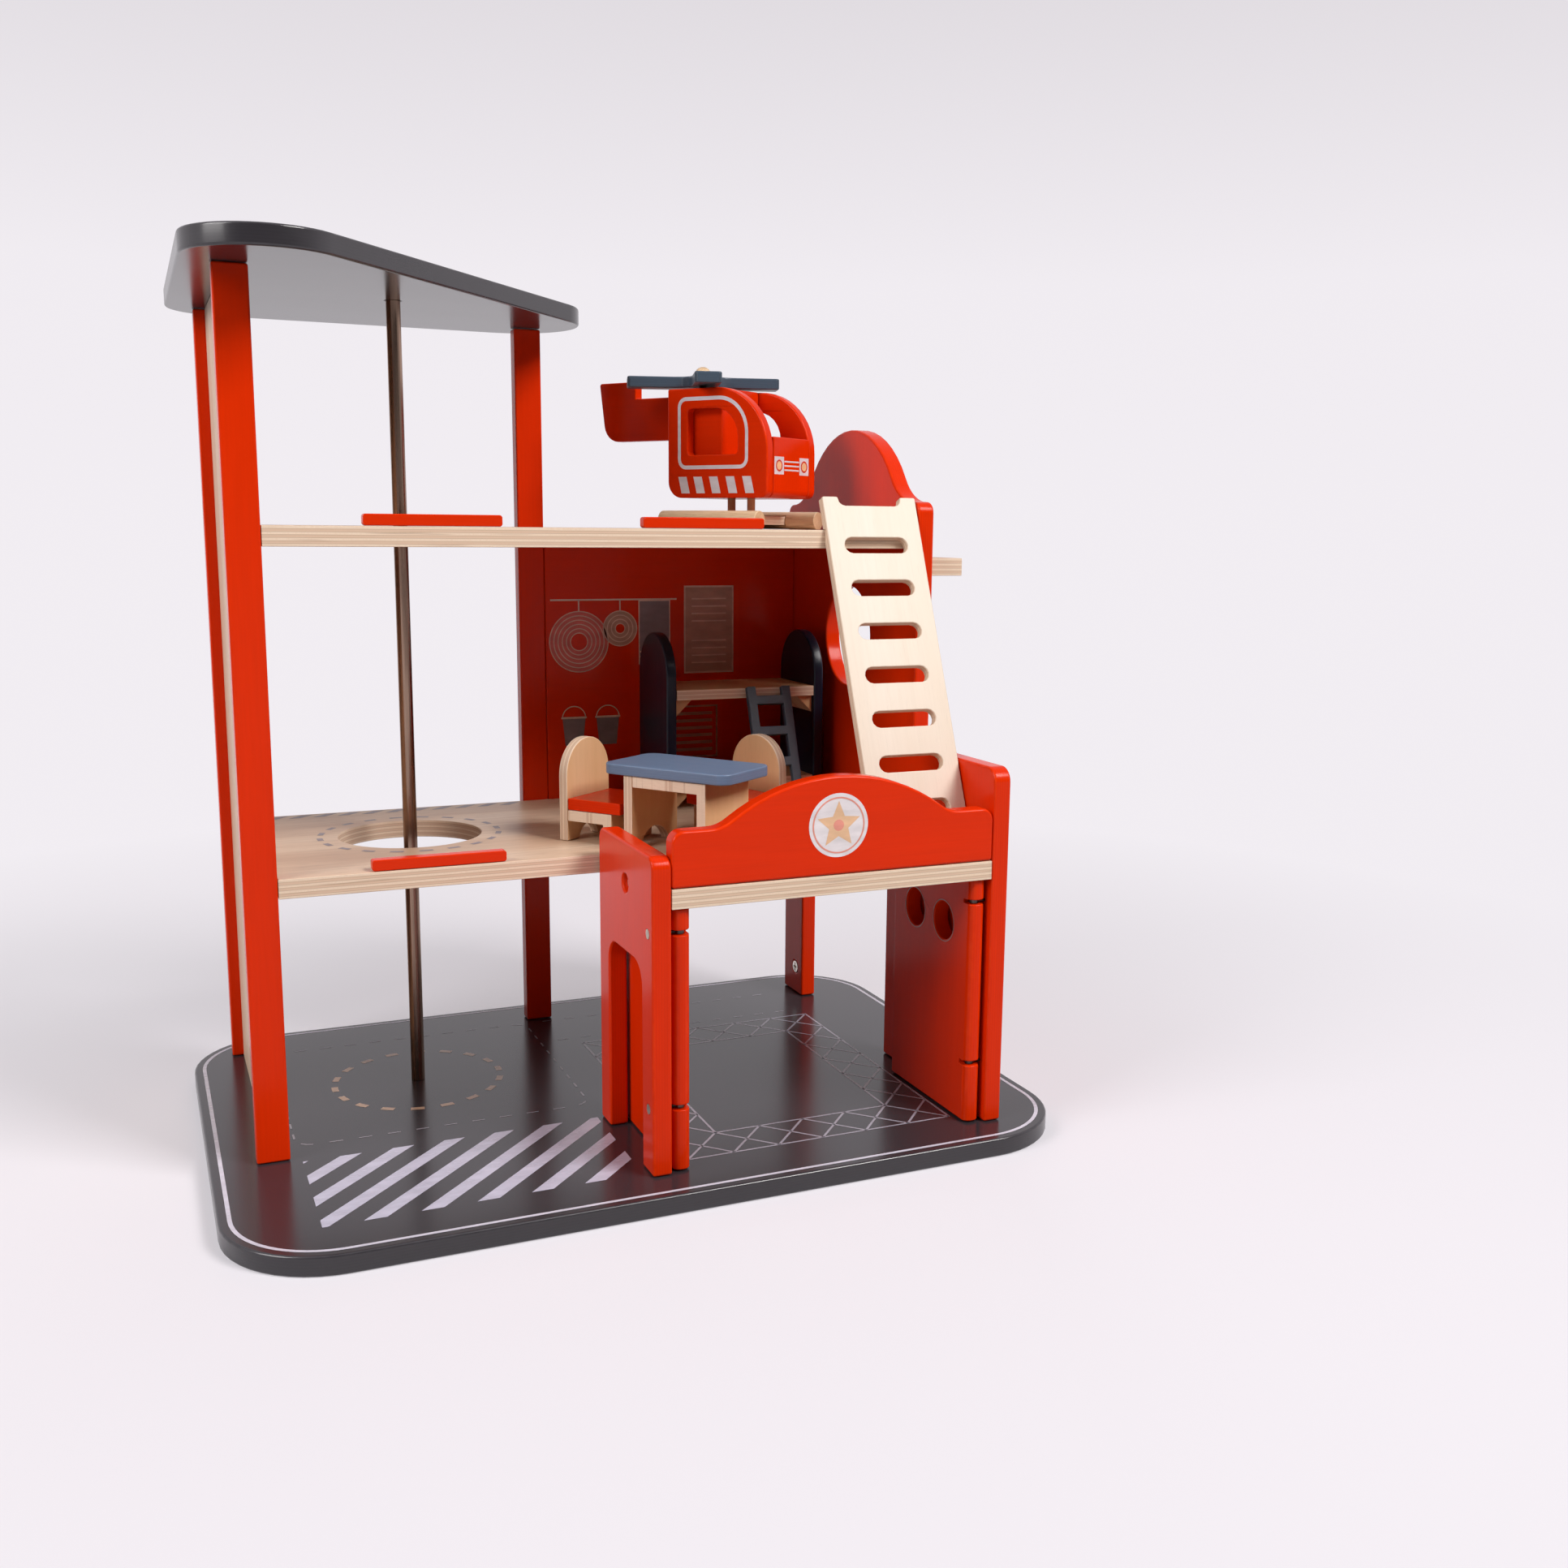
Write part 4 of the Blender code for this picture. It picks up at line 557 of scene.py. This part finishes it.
HELI_X = turned(X, HELI_TURN)
HELI_Y = turned(Y, HELI_TURN)
TABLE_X = turned(X, TABLE_TURN)
LEFT_CHAIR_X = turned(X, LEFT_CHAIR_TURN)
RIGHT_CHAIR_X = turned(X, RIGHT_CHAIR_TURN)
BLADE_X = turned(X, BLADE_TURN)

# Node, look, outward normal, direction of the grain, radius of the rim
BOARDS = [
    ("base_plate", "graphite", Z, X, 1.6),
    ("roof_plate", "graphite", Z, X, 1.6),
    ("front_left_post", "red", Y, Z, 1.3),
    ("rear_left_post", "red", Y, Z, 1.3),
    ("middle_rear_post", "red", Y, Z, 1.3),
    ("tower_side_panel", "ply", X, Z, 0.4),
    ("first_floor", "ply", Z, X, 0.45),
    ("upper_floor", "ply", Z, X, 0.45),
    ("outer_ledge", "ply", Z, X, 0.45),
    ("back_wall", "red", Y, X, 0.8),
    ("right_wall", "red", X, Z, 1.7),
    ("garage_left_wall", "red", X, Z, 1.7),
    ("parapet", "red", Y, X, 1.9),
    ("first_floor_curb", "red", Y, X, 0.7),
    ("upper_floor_curb_left", "red", Y, X, 0.7),
    ("upper_floor_curb_right", "red", Y, X, 0.7),
    ("left_door_leaf", "red", X, Z, 1.0),
    ("right_door_leaf", "red", X, Z, 1.0),
    ("leaning_ladder", "ladder", *lean_axes(LADDER_LEAN), 0.7),
    ("bunk_left_end", "navy", X, Z, 1.4),
    ("bunk_right_end", "navy", X, Z, 1.4),
    ("bunk_upper_deck", "thin_ply", Z, X, 0.5),
    ("bunk_lower_deck", "thin_ply", Z, X, 0.5),
    ("bunk_upper_bracket_left", "thin_ply", Y, X, 0.4),
    ("bunk_upper_bracket_right", "thin_ply", Y, X, 0.4),
    ("bunk_lower_bracket_left", "thin_ply", Y, X, 0.4),
    ("bunk_lower_bracket_right", "thin_ply", Y, X, 0.4),
    ("bunk_ladder", "steel_blue", *lean_axes(BUNK_LADDER_LEAN), 0.6),
    ("table_top", "slate", Z, TABLE_X, 1.0),
    ("table_leg_left", "thin_ply", TABLE_X, Z, 0.5),
    ("table_leg_right", "thin_ply", TABLE_X, Z, 0.5),
    ("left_chair_back", "thin_ply", LEFT_CHAIR_X, Z, 0.7),
    ("left_chair_underframe", "thin_ply", LEFT_CHAIR_X, Z, 0.5),
    ("left_chair_seat", "red", Z, LEFT_CHAIR_X, 0.8),
    ("right_chair_back", "thin_ply", RIGHT_CHAIR_X, Z, 0.7),
    ("right_chair_underframe", "thin_ply", RIGHT_CHAIR_X, Z, 0.5),
    ("right_chair_seat", "red", Z, RIGHT_CHAIR_X, 0.8),
    ("heli_near_side", "red", HELI_Y, HELI_X, 1.3),
    ("heli_far_side", "red", HELI_Y, HELI_X, 1.3),
    ("heli_core", "red", HELI_Y, HELI_X, 0.9),
    ("heli_tail", "red", HELI_Y, HELI_X, 1.2),
    ("heli_near_skid", "dowel", Z, HELI_X, 0.7),
    ("heli_far_skid", "dowel", Z, HELI_X, 0.7),
    ("heli_deck", "thin_ply", Z, HELI_X, 0.5),
    ("heli_rear_strut", "dowel", X, Z, 0.3),
    ("heli_front_strut", "dowel", X, Z, 0.3),
    ("heli_rotor_pin", "dowel", X, Z, 0.3),
    ("heli_rotor", "steel_blue", Z, BLADE_X, 1.1),
]


def metal_look(node):
    """The look of the pole or of a fastener."""
    if node == "fire_pole":
        return LOOKS["bronze"]
    if "hinge_eye" in node or "door_pin" in node:
        return LOOKS["hinge"]
    return LOOKS["zinc"]


for board in BOARDS:
    board_piece(*board)

for node_name, node_object in frame["nodes"].items():
    if not node_object.hide_render:
        for material_slot in node_object.material_slots:
            material_slot.material = metal_look(node_name)


# Outlines for the prints, as lists of flat shapes

def bar(start, end, width):
    """A straight stroke between two points."""
    first = Vector(start)
    last = Vector(end)
    side = (last - first).orthogonal().normalized() * width / 2
    return [tuple(first + side), tuple(last + side), tuple(last - side), tuple(first - side)]


def polyline(outline, width, closed=False):
    """A stroke along points with mitred joins, one four-sided shape for each stretch."""
    points = [Vector(p) for p in outline]
    count = len(points)
    lefts = []
    rights = []
    for i, point in enumerate(points):
        before = points[i - 1] if closed or i else None
        after = points[(i + 1) % count] if closed or i + 1 < count else None
        into = (after - point if before is None else point - before).normalized()
        out = (point - before if after is None else after - point).normalized()
        normal = Vector((-into.y - out.y, into.x + out.x)).normalized()
        reach = width / 2 / max(0.3, normal.dot(Vector((-into.y, into.x))))
        lefts.append(tuple(point + normal * reach))
        rights.append(tuple(point - normal * reach))
    spans = count if closed else count - 1
    return [[rights[i], rights[(i + 1) % count], lefts[(i + 1) % count], lefts[i]] for i in range(spans)]


def circle(center, radius, steps, start=0.0, end=math.tau):
    """Points round a circle or along part of one."""
    closed = abs(end - start) >= math.tau - 1e-6
    count = steps if closed else steps + 1
    return [(center[0] + radius * math.cos(start + (end - start) * i / steps),
             center[1] + radius * math.sin(start + (end - start) * i / steps)) for i in range(count)]


def round_rectangle(left, bottom, right, top, radius, steps):
    """Outline of a rectangle with rounded corners."""
    return (circle((right - radius, bottom + radius), radius, steps, -QUARTER, 0)
            + circle((right - radius, top - radius), radius, steps, 0, QUARTER)
            + circle((left + radius, top - radius), radius, steps, QUARTER, QUARTER * 2)
            + circle((left + radius, bottom + radius), radius, steps, QUARTER * 2, QUARTER * 3))


def dashes(outline, dash, pitch, width, start):
    """Dashes of even pitch along a closed outline."""
    points = [Vector(p) for p in outline]
    points.append(points[0])
    lengths = [0.0]
    for first, last in zip(points, points[1:]):
        lengths.append(lengths[-1] + (last - first).length)
    total = lengths[-1]
    count = round(total / pitch)

    def along(distance):
        distance %= total
        for i in range(len(points) - 1):
            if lengths[i + 1] >= distance:
                share = (distance - lengths[i]) / max(1e-9, lengths[i + 1] - lengths[i])
                return points[i].lerp(points[i + 1], share)
        return points[-1]

    shapes = []
    for k in range(count):
        begin = start + total * k / count
        shapes += polyline([along(begin), along(begin + dash / 2), along(begin + dash)], width)
    return shapes


def dashed_circle(center, radius, count, first, dash, width):
    """Evenly spaced dashes round a circle, with the first one's start and each one's length in degrees."""
    shapes = []
    for k in range(count):
        start = 360 / count * k + first
        arc = circle(center, radius, 2, math.radians(start), math.radians(start + dash))
        shapes += polyline(arc, width)
    return shapes


def clipped(shape, axis, limit, keep_above):
    """A polygon cut by a line across one axis."""
    result = []
    for i, point in enumerate(shape):
        before = shape[i - 1]
        inside = (point[axis] >= limit) == keep_above
        was_inside = (before[axis] >= limit) == keep_above
        if inside != was_inside:
            share = (limit - before[axis]) / (point[axis] - before[axis])
            crossing = [before[k] + (point[k] - before[k]) * share for k in range(2)]
            crossing[axis] = limit
            result.append(tuple(crossing))
        if inside:
            result.append(point)
    return result


def hatch(left, bottom, right, top, pitch, width, offset):
    """Slanted stripes at 45 degrees inside a rectangle."""
    shapes = []
    height = top - bottom
    for k in range(-int(height / pitch) - 2, int((right - left) / pitch) + 2):
        foot = left + offset + pitch * k
        head = foot + height
        shape = [(foot, bottom), (foot + width, bottom), (head + width, top), (head, top)]
        shape = clipped(shape, 0, left, True)
        shape = clipped(shape, 0, right, False) if shape else shape
        if len(shape) > 2:
            shapes.append(shape)
    return shapes


def star(center, outer, inner, points=5):
    """A star with one point up, as kites about its centre."""
    shapes = []
    half = math.pi / points
    for k in range(points):
        tip = QUARTER + math.tau * k / points
        spots = [(center[0] + radius * math.cos(angle), center[1] + radius * math.sin(angle))
                 for radius, angle in ((inner, tip - half), (outer, tip), (inner, tip + half))]
        shapes.append([center] + spots)
    return shapes


ROUND_STEPS = 40


def hoop(center, outer, inner):
    """A broad ring in four-sided pieces."""
    out = circle(center, outer, ROUND_STEPS)
    inside = circle(center, inner, ROUND_STEPS)
    return [[out[i - 1], out[i], inside[i], inside[i - 1]] for i in range(ROUND_STEPS)]


def coil(center, outer, inner, turns):
    """Outlines of the turns of a hung up hose."""
    shapes = []
    for k in range(turns):
        radius = outer - (outer - inner) * k / (turns - 1)
        shapes += polyline(circle(center, radius, ROUND_STEPS), 0.8, True)
    return shapes


def mirrored(points, sign):
    """Points for the side's own plane, whose first axis runs the other way on the far side."""
    return [(-u * sign, v) for u, v in points]


# Prints: flat pieces just above the boards

PRINT_LIFT = 0.1
LAYER_STEP = 0.06
LAMP_STEP = 0.08
BASE_GLOSS = 0.24
DISC_GLOSS = 0.34
PLAIN_GLOSS = 0.38
INK_COLORS = {
    "border": ((0.62, 0.60, 0.70), BASE_GLOSS),
    "outline": ((0.74, 0.70, 0.78), PLAIN_GLOSS),
    "white": ((0.50, 0.49, 0.61), BASE_GLOSS),
    "pale": ((0.36, 0.335, 0.40), BASE_GLOSS),
    "faint": ((0.29, 0.27, 0.31), BASE_GLOSS),
    "tan": ((0.60, 0.40, 0.27), BASE_GLOSS),
    "mauve": ((0.26, 0.20, 0.22), PLAIN_GLOSS),
    "lamp": ((0.86, 0.50, 0.26), PLAIN_GLOSS),
    "bright": ((0.72, 0.62, 0.66), PLAIN_GLOSS),
    "ring_red": ((0.60, 0.035, 0.01), PLAIN_GLOSS),
    "rose": ((0.66, 0.12, 0.10), PLAIN_GLOSS),
    "dusk": ((0.22, 0.17, 0.185), PLAIN_GLOSS),
    "sand": ((0.50, 0.29, 0.21), PLAIN_GLOSS),
    "line": ((0.78, 0.55, 0.46), PLAIN_GLOSS),
    "disc": ((0.80, 0.74, 0.76), DISC_GLOSS),
    "peach": ((0.80, 0.50, 0.30), PLAIN_GLOSS),
    "coral": ((0.78, 0.30, 0.23), PLAIN_GLOSS),
    "door_ring": ((0.42, 0.15, 0.12), PLAIN_GLOSS),
}
INKS = {key: ink(key + "_ink", *values) for key, values in INK_COLORS.items()}


def flat_print(name, shapes, color, body, origin, across, up):
    """Shapes drawn in a plane in one ink, as one flat piece that rides on a body."""
    vertices = []
    faces = []
    for shape in shapes:
        faces.append(list(range(len(vertices), len(vertices) + len(shape))))
        vertices += [Vector((u, v, 0)) * MM for u, v in shape]
    mesh = bpy.data.meshes.new(name)
    mesh.from_pydata(vertices, [], faces)
    mesh.materials.append(INKS[color])
    piece = bpy.data.objects.new(name, mesh)
    bpy.context.scene.collection.objects.link(piece)
    turn = Matrix((across, up, across.cross(up))).transposed().to_4x4()
    piece.matrix_world = Matrix.Translation(origin) @ turn
    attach(piece, body)


def level_print(name, shapes, color, height=0):
    """A print on the base plate or on a floor."""
    flat_print(name, shapes, color, "station", place(0, 0, height + PRINT_LIFT), X, Y)


def wall_print(name, shapes, color, layer=0):
    """A print on the back wall, drawn from the corner across and from the first floor up."""
    front = BACK_WALL_FRONT - PRINT_LIFT - LAYER_STEP * layer
    flat_print(name, shapes, color, "station", place(0, front, FIRST_FLOOR), X, Z)


def make_base_prints():
    """Border line, parking hatch, dashed court, ring at the pole's foot, garage lattice and dashed lane."""
    inset = 6.8
    border = round_rectangle(inset, inset, BASE_LENGTH - inset, BASE_DEPTH - inset, 59.2, 16)
    level_print("print_border", polyline(border, 2.5, True), "border")
    level_print("print_hatch", hatch(55, 37.5, 248, 136.3, 33.05, 13.5, -42.85), "white")
    court = round_rectangle(53.8, 161.8, 250.5, 349, 12, 6)
    level_print("print_court", dashes(court, 8.5, 18.6, 1.3, 4), "faint")
    level_print("print_ring", dashed_circle(POLE, 58.6, 18, -105, 9, 4.6), "tan")
    level_print("print_lattice", lattice(), "pale")
    starts = [265 + 18.5 * k for k in range(11)]
    lane = [bar((x, y), (x + 8, y), 1.3) for x in starts for y in (300, 348.5)]
    level_print("print_lane", lane, "faint")


def lattice():
    """Truss frame round the garage floor: two rectangles with crossed braces in every bay between them."""
    left, front, right, back = 281, 46.7, 471.5, 286
    columns, rows = 6, 7
    step_x = (right - left) / columns
    step_y = (back - front) / rows
    line = 1.6
    shapes = polyline([(left, front), (right, front), (right, back), (left, back)], line, True)
    shapes += polyline([(left + step_x, front + step_y), (right - step_x, front + step_y),
                        (right - step_x, back - step_y), (left + step_x, back - step_y)], line, True)
    for column in range(columns):
        for row in range(rows):
            if column in (0, columns - 1) or row in (0, rows - 1):
                near = (left + step_x * column, front + step_y * row)
                far = (near[0] + step_x, near[1] + step_y)
                shapes.append(bar(near, far, line))
                shapes.append(bar((near[0], far[1]), (far[0], near[1]), line))
    return shapes


def make_floor_prints():
    """Dashed ring about the pole's hole and a band of slanted stripes along the tower's rear edge."""
    ring = dashed_circle(POLE, 61.6, 20, -4.2, 8.4, 4)
    level_print("print_hole_ring", ring, "mauve", FIRST_FLOOR)
    level_print("print_rear_band", hatch(53, 341.5, 250, 352, 17.5, 8.5, 4), "mauve", FIRST_FLOOR)


LEAF_FACES = (("left", 266.2, -1), ("left", 277.7, 1), ("right", 474.7, -1), ("right", 486.2, 1))
FINGER_HOLES = (67.2, 107.2)
FINGER_HOLE_HEIGHT = 133.6
FINGER_RING_RADIUS = 14.4


def make_door_prints():
    """Thin rings round the finger holes, on both faces of each leaf."""
    for number, (side, x, sign) in enumerate(LEAF_FACES):
        shapes = []
        for y in FINGER_HOLES:
            ring = circle((y * sign, FINGER_HOLE_HEIGHT), FINGER_RING_RADIUS, ROUND_STEPS)
            shapes += polyline(ring, 0.8, True)
        flat_print("print_door_rings_%d" % number, shapes, "door_ring", side + "_door",
                   place(x + PRINT_LIFT * sign, 0, 0), Y * sign, Z)


def make_helicopter_prints():
    """Window outline and slanted dashes on both sides, lamps and grille on the nose."""
    base = Vector(HELI) + Vector((0, 0, HELI_BOTTOM))
    left, low, right, top = -34, 22, 27, 71
    corner, arch = 6, 25
    window = (circle((right - corner, low + corner), corner, 6, -QUARTER, 0)
              + circle((right - arch, top - arch), arch, 14, 0, QUARTER)
              + circle((left + corner, top - corner), corner, 6, QUARTER, QUARTER * 2)
              + circle((left + corner, low + corner), corner, 6, QUARTER * 2, QUARTER * 3))
    dash_low, dash_top, lean, width = 3.3, 15.3, 3, 7.7
    for side, sign in (("near", -1), ("far", 1)):
        shapes = polyline(mirrored(window, sign), 2.7, True)
        for u in (-35, -21, -6.7, 8.3, 23.2):
            dash = [(u, dash_top), (u + lean, dash_low), (u + lean + width, dash_low), (u + width, dash_top)]
            shapes.append(mirrored(dash, sign))
        origin = place(*(base + HELI_Y * sign * (HELI_HALF_WIDTH + PRINT_LIFT)))
        flat_print("print_heli_" + side, shapes, "outline", "helicopter", origin, HELI_X * -sign, Z)
    nose = place(*(base + HELI_X * (HELI_NOSE + PRINT_LIFT)))
    nearer = nose + HELI_X * LAMP_STEP * MM
    lamps = [(-16, 23), (16, 23)]
    squares = [[(u - 6, 16.8), (u + 6, 16.8), (u + 6, 29.3), (u - 6, 29.3)] for u, v in lamps]
    squares += [bar((-9.5, v), (9.5, v), 1.1) for v in (20, 23, 26)]
    flat_print("print_heli_lamps", squares, "bright", "helicopter", nose, HELI_Y, Z)
    rings = sum([polyline(circle(lamp, 3.6, 28), 1.2, True) for lamp in lamps], [])
    flat_print("print_heli_lamp_rings", rings, "ring_red", "helicopter", nearer, HELI_Y, Z)
    glasses = [circle(lamp, 3.0, 24) for lamp in lamps]
    flat_print("print_heli_lamp_glasses", glasses, "lamp", "helicopter", nearer, HELI_Y, Z)


def make_emblem():
    """White disc with a plain star and ring on the parapet."""
    center = (375, 214.3)
    ring_and_dot = polyline(circle(center, 17.6, 48), 1.0, True) + [circle(center, 3.6, 28)]
    layers = (("disc", [circle(center, 20.5, 56)]), ("peach", star(center, 15.5, 7)), ("coral", ring_and_dot))
    for i, (color, shapes) in enumerate(layers):
        front = PARAPET_FRONT - PRINT_LIFT - LAYER_STEP * i
        flat_print("print_emblem_%d" % i, shapes, color, "station", place(0, front, 0), X, Z)


def make_wall_prints():
    """Muted generic drawings on the back wall: hoses on a rail, a towel, pails, a notice board, a locker."""
    rail = 158
    large = ((302, 125), 24, 7)
    small = ((336, 135), 14, 4)
    hooks = [bar((center[0], rail), (center[0], rail - 9), 1.2) for center, outer, inner in (large, small)]
    wall_print("print_rail", polyline([(279, rail), (384, rail)], 1.4) + hooks, "line")
    wall_print("print_coil_large", hoop(*large), "rose")
    wall_print("print_coil_small", hoop(*small), "sand")
    wall_print("print_coil_lines", coil(*large, 6) + coil(*small, 4), "line", 1)

    towel = [(352, 157), (378, 157), (378, 106), (352, 106)]
    stripes = [bar((352, z), (378, z), 1.4) for z in (112, 116)]
    wall_print("print_towel", [towel], "dusk")
    wall_print("print_towel_lines", polyline(towel, 1.0, True) + stripes, "line", 1)

    pails = (297, 325)
    sides = [[(x - 9.5, 64), (x + 9.5, 64), (x + 7.2, 42), (x - 7.2, 42)] for x in pails]
    rims = [bar((x - 10.5, 64.5), (x + 10.5, 64.5), 1.6) for x in pails]
    handles = sum([polyline(circle((x, 64), 9.6, 16, 0.15, math.pi - 0.15), 0.9) for x in pails], [])
    wall_print("print_pails", sides, "dusk")
    wall_print("print_pail_rims", rims + handles, "line", 1)

    notice = [(391, 98), (433, 98), (433, 168), (391, 168)]
    lines = [bar((397, z), (427, z), 1.1) for z in (106, 112, 118, 124, 140, 146, 152, 158)]
    wall_print("print_notice_board", [notice], "sand")
    wall_print("print_notice_lines", polyline(notice, 1.4, True) + lines, "line", 1)

    locker = [(377, 28), (419, 28), (419, 70), (377, 70)]
    slats = [bar((381, z), (415, z), 2.6) for z in (34, 40, 46, 52, 58, 64)]
    wall_print("print_locker", polyline(locker, 1.6, True) + slats, "sand")


make_base_prints()
make_floor_prints()
make_door_prints()
make_helicopter_prints()
make_emblem()
make_wall_prints()

bpy.context.scene.view_settings.view_transform = "Standard"
bpy.context.view_layer.update()
